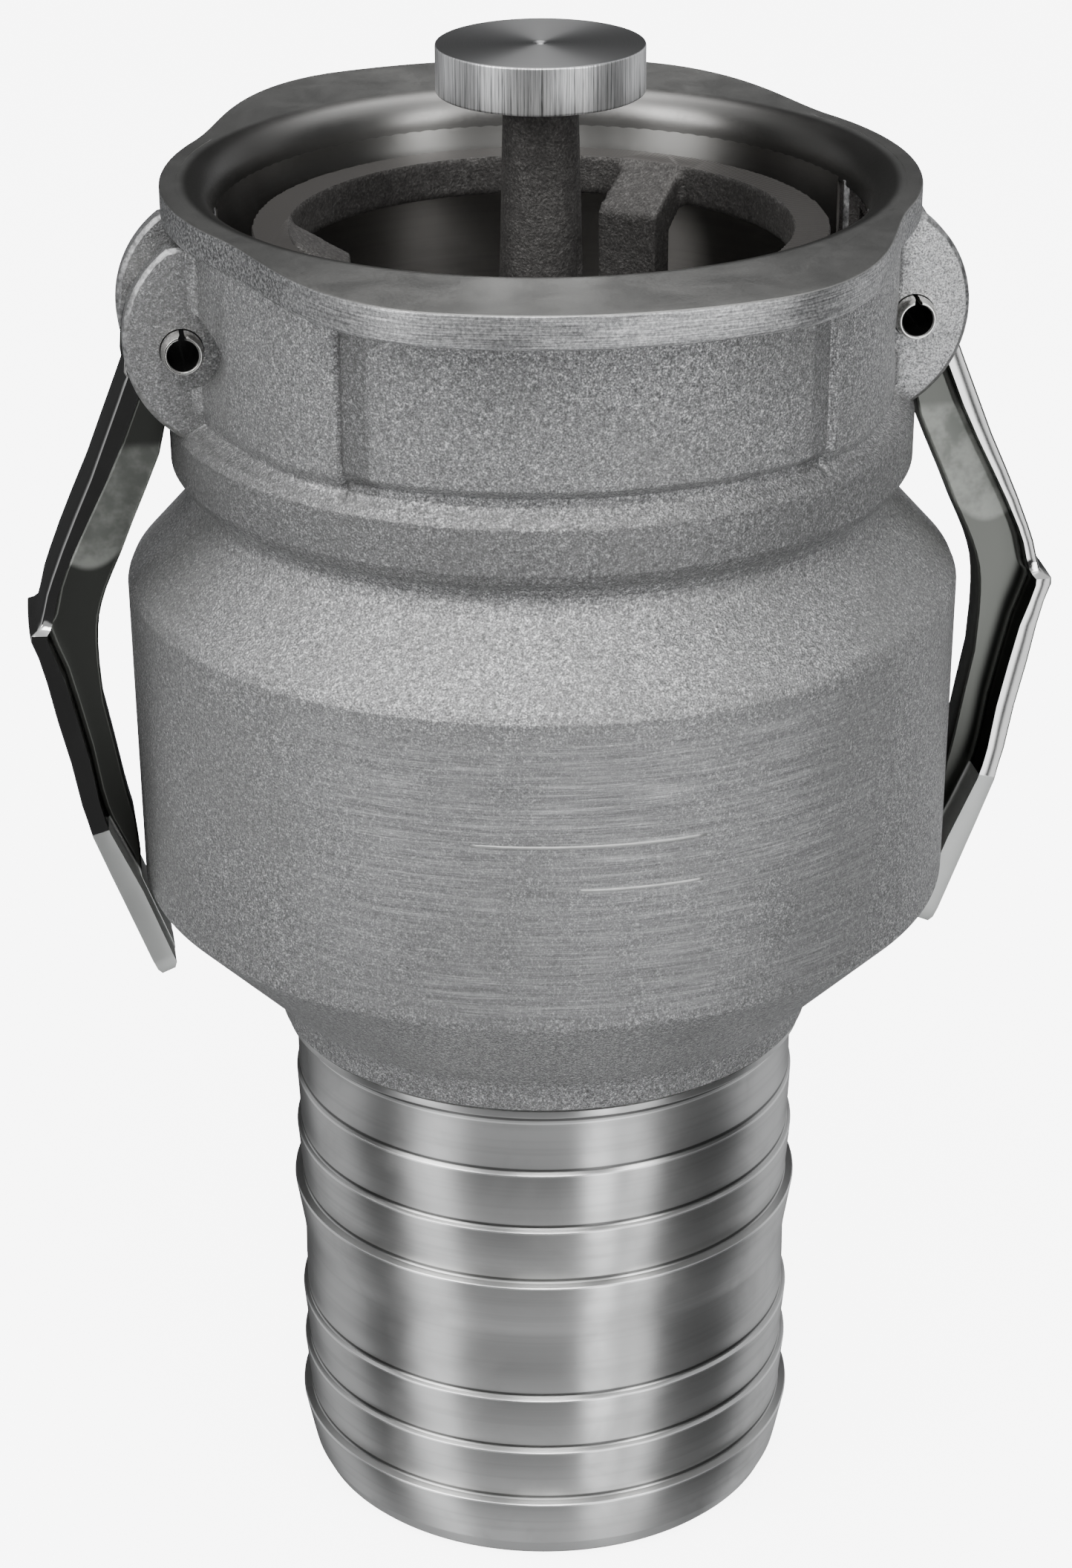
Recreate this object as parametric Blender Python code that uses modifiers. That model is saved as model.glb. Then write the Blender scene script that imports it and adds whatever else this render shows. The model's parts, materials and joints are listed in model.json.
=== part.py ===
"""Cam-and-groove (camlock) hose coupling with a sprung valve, as an assembly of its real pieces.

Origin: centre of the hose-end face.  +Z runs up the bore to the mouth, and the cam arms hang at +X and -X.
Every size below is in millimetres; the helpers turn it into metres.
"""
import math

import bmesh
import bpy
from mathutils import Matrix, Vector

MM = 0.001
STEPS = 40                    # facets round a turned piece
ROUND = 20                    # facets round a pin or a hole
GAP = 0.3                     # clearance left between neighbouring pieces
WELD = 1e-6                   # metres

# Heights up the axis
MOUTH_Z = 277.0               # face of the mouth rim
RIM_T = 6.0                   # thickness of the rim flange
CHEEK_Z = 240.0               # underside of the cheeks that carry the rim
LEDGE_Z = 223.4               # shelf the mouth gasket sits on
THROAT_Z = 213.0              # shelf the valve seat sits on
SPIDER_Z = 112.0              # shelf the guide spider sits on
COLLAR_Z = 107.6              # where the casting meets the machined hose shank

# Radii of the body
BORE_R = 60.5                 # clears the 119.3 mm end of a four-inch adapter
FLARE = 5.8                   # radius of the bell mouth
MOUTH_R = BORE_R + FLARE
THROAT_R = 54.6
BULGE_R = 80.3
CAVITY_R = 74.0
SHANK_BORE_R = 46.5
SHANK_ROOT_R = 51.1
RIM_SIDE_R = 70.2             # rim radius over the arms
RIM_LIP_R = 87.3              # rim radius at the front and back lips
CHEEK_SIDE_R = 66.6           # cheeks beside the ears
CHEEK_R = 70.2                # cheeks beside the pads
PAD_R = 72.1                  # face of the raised pads, front and back
PAD_HALF = 38.9               # half width of that face
PAD_FOOT = (43.6, 54.65)      # foot of a pad's sloped side wall
PAD_Z = 241.4                 # underside of the pads

# Arms, pins and ears
PIN_X = 68.3
PIN_Z = 251.4
PIN_R = 3.95
PIN_BORE_R = 2.9
PIN_HALF = 17.3
EAR_IN = 9.0
EAR_OUT = 14.0
ARM_HALF = 8.5
PLATE_HALF = 10.5
WEB_HALF = 3.6
LOBE_R = 7.4
LOBE_OFFSET = (-5.0, -1.2)

# Poppet
CAGE_TOP = 268.0
RING_OUT = 53.6
RING_IN = 46.9
LEG_OUT = 42.0
LEG_IN = 35.5
LEG_HALF = 6.3
LEG_ANGLES = (54.0, 174.0, 294.0)
HUB_Z = 211.3
HUB_TOP = 218.0
PROBE_Z = 292.0
PROBE_TOP = 300.5
PROBE_R = 19.2
ROD_R = 6.0
ROD_LOW = 104.0
ROD_HIGH = 228.0
DISC_Z = 200.0
DISC_R = 50.5
SPIGOT_R = 39.5
SEAL_TOP = 207.7
PLATE_TOP = 211.0
SEAT_BORE_R = 45.0
SCREW_CIRCLE_R = 25.0
SCREW_ANGLES = (114.0, 234.0, 354.0)

# Spring
SPRING_R = 20.0
WIRE_R = 1.8
SPRING_LOW = 126.6
SPRING_HIGH = 199.7
SPRING_TURNS = 6.5

# Hose shank barbs: height and radius of each sharp edge, from the collar down
BARBS = ((93.6, 51.7), (80.7, 52.1), (68.2, 53.0), (40.6, 52.2), (27.8, 52.3), (15.2, 53.0))


def clear_scene():
    for obj in list(bpy.data.objects):
        bpy.data.objects.remove(obj, do_unlink=True)


def make_collection(name):
    collection = bpy.data.collections.new(name)
    bpy.context.scene.collection.children.link(collection)
    return collection


def make_material(name, colour, roughness, metallic):
    material = bpy.data.materials.new(name)
    material.use_nodes = True
    shader = material.node_tree.nodes["Principled BSDF"]
    shader.inputs["Base Color"].default_value = (*colour, 1.0)
    shader.inputs["Roughness"].default_value = roughness
    shader.inputs["Metallic"].default_value = metallic
    material.diffuse_color = (*colour, 1.0)
    return material


def add_object(name, data):
    obj = bpy.data.objects.new(name, data)
    PARTS.objects.link(obj)
    return obj


def bake(obj):
    """Replace an object's mesh with what its modifiers make of it."""
    bpy.context.view_layer.update()
    graph = bpy.context.evaluated_depsgraph_get()
    old = obj.data
    obj.data = bpy.data.meshes.new_from_object(obj.evaluated_get(graph))
    obj.modifiers.clear()
    bpy.data.meshes.remove(old)


def turned(name, profile, ring=False, steps=STEPS):
    """Solid of revolution; the profile of (radius, height) pairs runs down its outer side."""
    mesh = bpy.data.meshes.new(name)
    edges = [(i, i + 1) for i in range(len(profile) - 1)]
    if ring:
        edges.append((len(profile) - 1, 0))
    mesh.from_pydata([(r * MM, 0.0, z * MM) for r, z in profile], edges, [])
    obj = add_object(name, mesh)
    screw = obj.modifiers.new("Turn", "SCREW")
    screw.steps = steps
    screw.render_steps = steps
    screw.use_merge_vertices = True
    screw.merge_threshold = 1e-5
    bake(obj)
    return obj


def ring_profile(inner, outer, low, high, bevel=0.4):
    """Closed section of a plain ring with its outer edges broken."""
    return [(inner, high), (outer - bevel, high), (outer, high - bevel),
            (outer, low + bevel), (outer - bevel, low), (inner, low)]


def extruded(name, outline, half, frame=Matrix()):
    """Flat outline in its own XY plane, thickened by half on each side, then placed by frame."""
    curve = bpy.data.curves.new(name, "CURVE")
    curve.dimensions = "2D"
    curve.fill_mode = "BOTH"
    curve.extrude = half * MM
    spline = curve.splines.new("POLY")
    spline.points.add(len(outline) - 1)
    for point, (x, y) in zip(spline.points, outline):
        point.co = (x * MM, y * MM, 0.0, 1.0)
    spline.use_cyclic_u = True
    drawn = add_object(name + "_outline", curve)
    obj = mesh_from_curve(drawn, name)
    obj.data.transform(frame)
    return obj


def mesh_from_curve(drawn, name):
    """Turn a curve object into a closed mesh object and remove the curve."""
    bpy.context.view_layer.update()
    graph = bpy.context.evaluated_depsgraph_get()
    mesh = bpy.data.meshes.new_from_object(drawn.evaluated_get(graph))
    work = bmesh.new()
    work.from_mesh(mesh)
    bmesh.ops.remove_doubles(work, verts=work.verts, dist=WELD)
    bmesh.ops.recalc_face_normals(work, faces=work.faces)
    work.to_mesh(mesh)
    work.free()
    obj = add_object(name, mesh)
    obj.matrix_world = drawn.matrix_world
    bpy.data.objects.remove(drawn, do_unlink=True)
    return obj


def cylinder(name, radius, half, centre, axis="Z", top=None, segments=ROUND):
    """Cylinder, or cone when top is given, of length 2 * half about centre."""
    mesh = bpy.data.meshes.new(name)
    work = bmesh.new()
    bmesh.ops.create_cone(work, cap_ends=True, segments=segments, radius1=radius * MM,
                          radius2=(radius if top is None else top) * MM, depth=2 * half * MM)
    turn = {"Z": Matrix(), "Y": Matrix.Rotation(math.radians(-90), 4, "X")}[axis]
    bmesh.ops.transform(work, matrix=Matrix.Translation(Vector(centre) * MM) @ turn, verts=work.verts)
    work.to_mesh(mesh)
    work.free()
    return add_object(name, mesh)


def block(name, low, high):
    """Box between two corners."""
    mesh = bpy.data.meshes.new(name)
    work = bmesh.new()
    bmesh.ops.create_cube(work, size=1.0)
    size = Vector(high) - Vector(low)
    centre = (Vector(high) + Vector(low)) / 2
    frame = Matrix.Translation(centre * MM) @ Matrix.Diagonal((*(size * MM), 1.0))
    bmesh.ops.transform(work, matrix=frame, verts=work.verts)
    work.to_mesh(mesh)
    work.free()
    return add_object(name, mesh)


def combine(target, tool, operation):
    """Join the tool to the target, or cut it away, and remove the tool."""
    step = target.modifiers.new(operation.title(), "BOOLEAN")
    step.operation = operation
    step.solver = "EXACT"
    step.object = tool
    bake(target)
    bpy.data.objects.remove(tool, do_unlink=True)


def join(target, *tools):
    for tool in tools:
        combine(target, tool, "UNION")


def cut(target, *tools):
    for tool in tools:
        combine(target, tool, "DIFFERENCE")


def spin(obj, degrees):
    """Turn an object's mesh about the coupling's axis."""
    obj.data.transform(Matrix.Rotation(math.radians(degrees), 4, "Z"))
    return obj


def arc(centre, radius, start, end, count):
    """Points of an arc, from start to end degrees."""
    angles = [math.radians(start + (end - start) * i / count) for i in range(count + 1)]
    return [(centre[0] + radius * math.cos(a), centre[1] + radius * math.sin(a)) for a in angles]


def finish_piece(obj, material, pivot=(0.0, 0.0, 0.0)):
    """Give a piece its material, its smooth shading, and its origin on its joint's axis."""
    offset = Vector(pivot) * MM
    obj.data.transform(Matrix.Translation(-offset))
    obj.location = offset
    obj.data.materials.clear()
    obj.data.materials.append(material)
    obj.data.shade_smooth()
    obj.data.set_sharp_from_angle(angle=math.radians(30))


# Frame that stands a flat outline up in the XZ plane
UPRIGHT = Matrix.Rotation(math.radians(90), 4, "X")


def lift(height):
    return Matrix.Translation((0.0, 0.0, height * MM))


# ---------------------------------------------------------------- body casting

def swelling_outline(side_radius, front_radius, start, end):
    """Outline with one radius over the arms and another at front and back.

    It changes smoothly between the start and end angles, measured from the X axis.
    """
    outline = []
    for angle in range(0, 360, 6):
        turn = math.radians(angle)
        folded = math.degrees(math.asin(abs(math.sin(turn))))
        t = min(max((folded - start) / (end - start), 0.0), 1.0)
        radius = side_radius + (front_radius - side_radius) * t * t * (3 - 2 * t)
        outline.append((radius * math.cos(turn), radius * math.sin(turn)))
    return outline


def shank_profile():
    """Outside of the hose shank below the collar: a sawtooth of barbs, sharp towards the mouth."""
    profile = [(SHANK_ROOT_R, COLLAR_Z - 0.9)]
    for index, (z, radius) in enumerate(BARBS):
        profile.append((SHANK_ROOT_R, z + 0.3))
        profile.append((radius, z))
        next_z = BARBS[index + 1][0] if index + 1 < len(BARBS) else 6.0
        if z - next_z > 20:
            profile.append((SHANK_ROOT_R, z - 12.5))
    profile += [(51.1, 6.0), (50.2, 3.6), (48.9, 1.4), (47.9, 0.0)]
    return profile


def body_outside():
    """Turned outside of the casting, from under the cheeks to the hose end."""
    profile = [(0.0, CHEEK_Z + 1.0), (65.4, CHEEK_Z + 1.0), (66.2, CHEEK_Z - 2.3), (69.9, 235.4),
               (70.7, 234.4), (70.7, 225.6), (69.4, 223.4), (67.2, 221.8),
               (66.5, 220.0), (67.0, 217.6), (68.6, 215.2),
               (79.3, 204.0), (BULGE_R, 202.2), (BULGE_R, 141.4), (79.2, 139.6),
               (62.6, 123.0), (58.6, 119.6), (55.8, 116.4), (54.6, 112.6), (54.2, COLLAR_Z + 0.9),
               (53.2, COLLAR_Z)]
    profile += shank_profile() + [(0.0, 0.0)]
    return turned("body", profile)


def body_cavity():
    """Everything turned out of the body's inside, as one cutter."""
    flare = [(MOUTH_R - FLARE * math.sin(math.radians(a)), MOUTH_Z - FLARE * (1 - math.cos(math.radians(a))))
             for a in (0, 30, 60, 90)]
    profile = [(0.0, MOUTH_Z + 5), (MOUTH_R, MOUTH_Z + 5)] + flare
    profile += [(BORE_R, 230.3), (63.0, 230.3), (63.0, LEDGE_Z), (THROAT_R, LEDGE_Z),
                (THROAT_R, 221.1), (56.6, 221.1), (56.6, 219.2), (THROAT_R, 219.2),
                (THROAT_R, THROAT_Z), (51.5, THROAT_Z), (51.5, 207.0), (53.0, 205.5), (66.0, 205.5),
                (CAVITY_R, 197.5), (CAVITY_R, 146.0), (49.5, 121.5), (49.5, 119.5), (51.0, 119.5),
                (51.0, 117.8), (49.5, 117.8), (49.5, SPIDER_Z), (SHANK_BORE_R, SPIDER_Z),
                (SHANK_BORE_R, 0.6), (SHANK_BORE_R + 0.6, 0.0), (SHANK_BORE_R + 0.6, -5.0), (0.0, -5.0)]
    return turned("cavity", profile)


def make_pad(degrees):
    """Raised pad between the cheeks, front or back, with sloped side walls."""
    spread = math.degrees(math.asin(PAD_HALF / PAD_R))
    foot_x, foot_y = PAD_FOOT
    outline = arc((0.0, 0.0), PAD_R, 90 - spread, 90 + spread, 10)
    outline += [(-foot_x, foot_y), (1 - foot_x, foot_y - 3), (foot_x - 1, foot_y - 3), (foot_x, foot_y)]
    half = (MOUTH_Z - RIM_T + 0.3 - PAD_Z) / 2
    return spin(extruded("pad", outline, half, lift(PAD_Z + half)), degrees)


def make_body():
    body = body_outside()
    rim_low = MOUTH_Z - RIM_T
    cheek_outline = swelling_outline(CHEEK_SIDE_R, CHEEK_R, 12.0, 50.0)
    cheeks_half = (rim_low + 0.5 - CHEEK_Z) / 2
    cheeks = extruded("cheeks", cheek_outline, cheeks_half, lift(CHEEK_Z + cheeks_half))
    rim_edge = swelling_outline(RIM_SIDE_R, RIM_LIP_R, 28.0, 70.0)
    rim = extruded("rim", rim_edge, RIM_T / 2, lift(MOUTH_Z - RIM_T / 2))
    join(body, cheeks)
    for side in (1, -1):
        ear = [(58.0, 233.0)] + arc((58.0, 252.7), 21.0, -58.0, 54.5, 12) + [(58.0, rim_low + 0.2)]
        join(body, extruded("ear", [(side * x, z) for x, z in ear], EAR_OUT, UPRIGHT))
    join(body, make_pad(0), make_pad(180))
    join(body, rim)
    cut(body, body_cavity())
    for side in (1, -1):
        near, far = sorted((side * 50.0, side * 95.0))
        cut(body, block("slot", (near, -EAR_IN, 237.5), (far, EAR_IN, rim_low + 0.4)))
        near, far = sorted((side * 70.9, side * 95.0))
        cut(body, block("slot_foot", (near, -EAR_IN, 230.0), (far, EAR_IN, 238.0)))
        near, far = sorted((side * 50.0, side * 62.5))
        cut(body, block("window", (near, -12.5, 239.5), (far, 12.5, rim_low + 0.2)))
        cut(body, cylinder("pin_hole", PIN_R + 0.15, 20.0, (side * PIN_X, 0.0, PIN_Z), "Y"))
        for end in (1, -1):
            spot = cylinder("spot_face", 7.5, 7.0, (side * PIN_X, end * (EAR_OUT + 6.8), PIN_Z), "Y")
            cut(body, spot)
    finish_piece(body, CAST_ALUMINIUM)


# ---------------------------------------------------------------- cam arms and pins

def arm_outlines():
    """Outlines in the XZ plane, for the right arm: head with upper flange, lower plate, and web."""
    lobe_centre = (PIN_X + LOBE_OFFSET[0], PIN_Z + LOBE_OFFSET[1])
    head = arc((PIN_X, PIN_Z), 10.2, -5.0, 115.0, 8) + arc(lobe_centre, LOBE_R, 120.0, 255.0, 9)
    head += [(67.0, 241.8), (71.0, 238.0), (73.4, 233.6), (79.2, 234.2),
             (82.0, 227.9), (87.9, 216.7), (93.3, 205.8), (94.6, 200.8), (94.4, 197.5),
             (97.9, 197.6), (97.2, 200.0), (96.2, 203.8), (92.6, 212.8), (89.8, 219.0), (83.6, 233.0),
             (80.3, 240.9), (78.3, 245.0)]
    plate = [(95.3, 200.6), (97.1, 199.8), (98.3, 197.8), (100.0, 196.5), (98.6, 192.0), (96.0, 179.0),
             (94.0, 170.0), (92.5, 161.0), (91.0, 155.0), (84.0, 136.0), (80.5, 126.5), (79.3, 124.2),
             (77.4, 123.6), (76.0, 125.0), (77.5, 131.0), (80.9, 140.0), (87.5, 156.0), (89.0, 163.0),
             (90.7, 173.0), (92.5, 182.5), (94.0, 188.0), (95.0, 192.0)]
    web = [(75.0, 240.0), (71.2, 236.5), (71.6, 233.2), (72.9, 229.0), (78.6, 216.0), (84.5, 203.0),
           (86.1, 198.5), (86.8, 188.5), (86.5, 179.4), (83.7, 164.0), (81.4, 150.5),
           (81.4, 145.6), (82.4, 142.4), (89.4, 157.4), (90.8, 163.6), (92.5, 173.5), (94.4, 183.0),
           (96.4, 192.4), (96.0, 199.0), (94.2, 206.4), (89.0, 217.6), (80.6, 234.4)]
    return head, plate, web


def make_arm(name, side):
    halves = (ARM_HALF, PLATE_HALF, WEB_HALF)
    solids = []
    for outline, half in zip(arm_outlines(), halves):
        solids.append(extruded(name, [(side * x, z) for x, z in outline], half, UPRIGHT))
    arm, plate, web = solids
    join(arm, web, plate)
    cut(arm, cylinder("pivot", PIN_R + 0.2, 12.0, (side * PIN_X, 0.0, PIN_Z), "Y"))
    arm.name = name
    finish_piece(arm, STAINLESS, (side * PIN_X, 0.0, PIN_Z))


def make_pin(name, side):
    """Slotted hollow roll pin with chamfered ends."""
    bevel = 1.4
    profile = [(PIN_BORE_R, PIN_HALF), (PIN_R - 0.45, PIN_HALF), (PIN_R, PIN_HALF - bevel),
               (PIN_R, bevel - PIN_HALF), (PIN_R - 0.45, -PIN_HALF), (PIN_BORE_R, -PIN_HALF)]
    pin = turned(name, profile, ring=True, steps=ROUND)
    cut(pin, block("slit", (-0.5, 0.0, -20.0), (0.5, 6.0, 20.0)))
    stand = Matrix.Translation((side * PIN_X * MM, 0.0, PIN_Z * MM)) @ UPRIGHT
    pin.data.transform(stand)
    finish_piece(pin, PIN_STEEL)


# ---------------------------------------------------------------- seals and seat

def make_seat():
    seat = turned("seat_ring", [(SEAT_BORE_R, 219.1), (54.3, 219.1), (54.3, 217.6), (52.6, 217.6),
                                (52.6, 214.8), (54.3, 214.8), (54.3, THROAT_Z + GAP),
                                (51.2, THROAT_Z + GAP), (51.2, 208.0), (48.2, 208.0),
                                (SEAT_BORE_R, 210.4)], ring=True)
    finish_piece(seat, MACHINED_ALUMINIUM)
    o_ring = turned("seat_o_ring", arc((53.6, 216.2), 0.9, 90, -210, 5), ring=True)
    finish_piece(o_ring, RUBBER)


def make_snap_ring(name, inner, outer, low, high, degrees):
    ring = turned(name, ring_profile(inner, outer, low, high, 0.15), ring=True)
    opening = block("opening", (0.0, -7.0, low - 1), (outer + 5, 7.0, high + 1))
    cut(ring, spin(opening, degrees))
    finish_piece(ring, SPRING_STEEL)


def make_gasket():
    gasket = turned("mouth_gasket", ring_profile(THROAT_R + 0.2, 62.7, LEDGE_Z + GAP, 230.0, 0.8), ring=True)
    finish_piece(gasket, RUBBER)


# ---------------------------------------------------------------- poppet

def make_cage():
    ring = turned("poppet_cage", [(RING_IN, CAGE_TOP), (RING_OUT - 0.5, CAGE_TOP), (RING_OUT, CAGE_TOP - 0.5),
                                  (RING_OUT, 261.5), (RING_OUT - 1.0, 260.5), (RING_IN, 260.5)], ring=True)
    leg = [(50.0, 266.4), (47.2, 267.5), (LEG_IN, 261.0), (LEG_IN, HUB_TOP - 0.6), (4.0, HUB_TOP - 0.6),
           (4.0, HUB_Z + 0.4), (LEG_OUT, HUB_Z + 0.4), (LEG_OUT, 256.5), (49.0, 261.6), (50.0, 262.4)]
    stem = turned("stem", [(0.0, 291.7), (6.9, 291.7), (7.7, 263.0), (8.9, 221.0), (13.0, HUB_TOP),
                           (13.0, HUB_Z), (0.0, HUB_Z)], steps=ROUND)
    for angle in LEG_ANGLES:
        join(stem, spin(extruded("leg", leg, LEG_HALF, UPRIGHT), angle))
    join(ring, stem)
    cut(ring, cylinder("rod_socket", ROD_R + 0.2, 12.0, (0.0, 0.0, ROD_HIGH + GAP - 12.0)))
    cut(ring, cylinder("stud_socket", 3.3, 8.0, (0.0, 0.0, 286.5)))
    finish_piece(ring, DARK_CAST)


def make_probe_head():
    head = turned("probe_head", [(0.0, PROBE_TOP - 0.4), (1.4, PROBE_TOP), (PROBE_R - 0.5, PROBE_TOP),
                                 (PROBE_R, PROBE_TOP - 0.5), (PROBE_R, PROBE_Z + 0.4),
                                 (PROBE_R - 0.4, PROBE_Z), (3.0, PROBE_Z), (3.0, 280.0), (0.0, 280.0)],
                  steps=48)
    finish_piece(head, MACHINED_ALUMINIUM)


def make_valve_disc():
    disc = turned("valve_disc", [(0.0, SEAL_TOP), (SPIGOT_R, SEAL_TOP), (SPIGOT_R, DISC_Z + 3.5),
                                 (DISC_R, DISC_Z + 3.5), (DISC_R, DISC_Z + 0.8), (DISC_R - 0.8, DISC_Z),
                                 (0.0, DISC_Z)])
    cut(disc, cylinder("rod_hole", ROD_R + GAP, 10.0, (0.0, 0.0, DISC_Z + 4)))
    cut_screw_holes(disc, DISC_Z + 4)
    finish_piece(disc, MACHINED_ALUMINIUM)
    seal = turned("valve_seal", ring_profile(SPIGOT_R + GAP, DISC_R - GAP, DISC_Z + 3.8, SEAL_TOP, 0.3),
                  ring=True)
    finish_piece(seal, RUBBER)


def cut_screw_holes(piece, height):
    for angle in SCREW_ANGLES:
        hole = cylinder("screw_hole", 2.8, 10.0, (SCREW_CIRCLE_R, 0.0, height), segments=20)
        cut(piece, spin(hole, angle))


def make_clamp_plate():
    plate = turned("seal_clamp_plate", [(0.0, PLATE_TOP), (43.1, PLATE_TOP), (43.5, PLATE_TOP - 0.4),
                                        (43.5, SEAL_TOP + GAP), (0.0, SEAL_TOP + GAP)])
    cut(plate, cylinder("rod_hole", ROD_R + GAP, 10.0, (0.0, 0.0, PLATE_TOP)))
    cut_screw_holes(plate, PLATE_TOP)
    finish_piece(plate, MACHINED_ALUMINIUM)


def make_clamp_screws():
    """Socket head screws that clamp the seal."""
    head_low = PLATE_TOP + GAP
    for number, angle in enumerate(SCREW_ANGLES, 1):
        screw = turned(f"clamp_screw_{number}", [(0.0, head_low + 5), (4.2, head_low + 5),
                                                 (4.5, head_low + 4.7), (4.5, head_low),
                                                 (2.5, head_low), (2.5, 201.5), (2.0, 201.0),
                                                 (0.0, 201.0)], steps=20)
        cut(screw, cylinder("socket", 2.3, 3.0, (0.0, 0.0, head_low + 5), segments=6))
        screw.data.transform(Matrix.Translation((SCREW_CIRCLE_R * MM, 0.0, 0.0)))
        finish_piece(spin(screw, angle), ZINC_STEEL)


def make_rod():
    rod = turned("guide_rod", [(0.0, ROD_HIGH), (ROD_R - 0.8, ROD_HIGH), (ROD_R, ROD_HIGH - 0.8),
                               (ROD_R, ROD_LOW + 0.8), (ROD_R - 0.8, ROD_LOW), (0.0, ROD_LOW)], steps=ROUND)
    finish_piece(rod, STAINLESS_ROD)
    washer = turned("rod_washer", ring_profile(ROD_R + GAP, 14.0, 197.4, DISC_Z - GAP, 0.3), ring=True,
                    steps=ROUND)
    finish_piece(washer, ZINC_STEEL)
    nut = cylinder("rod_nut", 9.8, 3.05, (0.0, 0.0, 194.05), segments=6)
    cut(nut, cylinder("thread", ROD_R + 0.2, 5.0, (0.0, 0.0, 194.05)))
    finish_piece(nut, ZINC_STEEL)


def make_spring():
    """Coil with its two end turns closed up, drawn as a wire."""
    curve = bpy.data.curves.new("valve_spring", "CURVE")
    curve.dimensions = "3D"
    curve.bevel_depth = WIRE_R * MM
    curve.bevel_resolution = 1
    curve.use_fill_caps = True
    spline = curve.splines.new("POLY")
    count = int(SPRING_TURNS * 14)
    spline.points.add(count)
    low = SPRING_LOW + WIRE_R
    travel = SPRING_HIGH - SPRING_LOW - 2 * WIRE_R
    closed = 2 * WIRE_R + GAP
    pitch = (travel - 2 * closed) / (SPRING_TURNS - 2)
    for index, point in enumerate(spline.points):
        turn = SPRING_TURNS * index / count
        middle = min(max(turn - 1, 0.0), SPRING_TURNS - 2)
        ends = min(turn, 1.0) + max(turn - (SPRING_TURNS - 1), 0.0)
        height = low + closed * ends + pitch * middle
        angle = math.tau * turn
        point.co = (SPRING_R * math.cos(angle) * MM, SPRING_R * math.sin(angle) * MM, height * MM, 1.0)
    spring = mesh_from_curve(add_object("spring_wire", curve), "valve_spring")
    finish_piece(spring, SPRING_STEEL)


# ---------------------------------------------------------------- guide spider

def make_spider():
    hub_high = 124.0
    hub_low = 108.0
    ring = turned("guide_spider", ring_profile(44.0, 49.2, SPIDER_Z + GAP, 117.5, 0.5), ring=True)
    hub = cylinder("hub", 12.5, (hub_high - hub_low) / 2, (0.0, 0.0, (hub_high + hub_low) / 2))
    for angle in LEG_ANGLES:
        join(hub, spin(block("spoke", (9.5, -3.6, 109.6), (45.4, 3.6, 117.1)), angle))
    join(ring, hub)
    cut(ring, cylinder("bush_hole", 9.1, 20.0, (0.0, 0.0, hub_high)))
    finish_piece(ring, DARK_CAST)
    bush = turned("guide_bush", ring_profile(ROD_R + 0.1, 8.8, hub_low, hub_high, 0.3), ring=True,
                  steps=ROUND)
    finish_piece(bush, BRONZE)
    seat = turned("spring_seat", ring_profile(ROD_R + GAP, 24.0, hub_high + GAP, SPRING_LOW - GAP, 0.3),
                  ring=True)
    finish_piece(seat, ZINC_STEEL)


# ---------------------------------------------------------------- assembly

clear_scene()
PARTS = make_collection("camlock_coupling")

CAST_ALUMINIUM = make_material("cast_aluminium", (0.56, 0.57, 0.57), 0.45, 0.85)
MACHINED_ALUMINIUM = make_material("machined_aluminium", (0.74, 0.74, 0.73), 0.25, 1.0)
DARK_CAST = make_material("dark_cast", (0.30, 0.29, 0.27), 0.65, 0.6)
STAINLESS = make_material("polished_stainless", (0.66, 0.65, 0.63), 0.15, 1.0)
STAINLESS_ROD = make_material("ground_rod", (0.62, 0.62, 0.61), 0.3, 1.0)
PIN_STEEL = make_material("pin_steel", (0.70, 0.69, 0.66), 0.25, 1.0)
SPRING_STEEL = make_material("spring_steel", (0.45, 0.45, 0.44), 0.35, 1.0)
ZINC_STEEL = make_material("zinc_steel", (0.68, 0.68, 0.66), 0.35, 1.0)
BRONZE = make_material("bronze", (0.60, 0.42, 0.20), 0.4, 1.0)
RUBBER = make_material("rubber", (0.03, 0.03, 0.03), 0.7, 0.0)

make_body()
make_arm("cam_arm_right", 1)
make_arm("cam_arm_left", -1)
make_pin("cam_pin_right", 1)
make_pin("cam_pin_left", -1)
make_gasket()
make_seat()
make_snap_ring("seat_retaining_ring", 51.0, 56.3, 219.4, 220.8, 24.0)
make_cage()
make_probe_head()
make_valve_disc()
make_clamp_plate()
make_clamp_screws()
make_rod()
make_spring()
make_spider()
make_snap_ring("spider_retaining_ring", 46.5, 50.7, 118.0, 119.2, 204.0)
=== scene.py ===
import json
import math

import bmesh
import bpy
import numpy as np
from mathutils import Matrix, Quaternion, Vector


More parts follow.
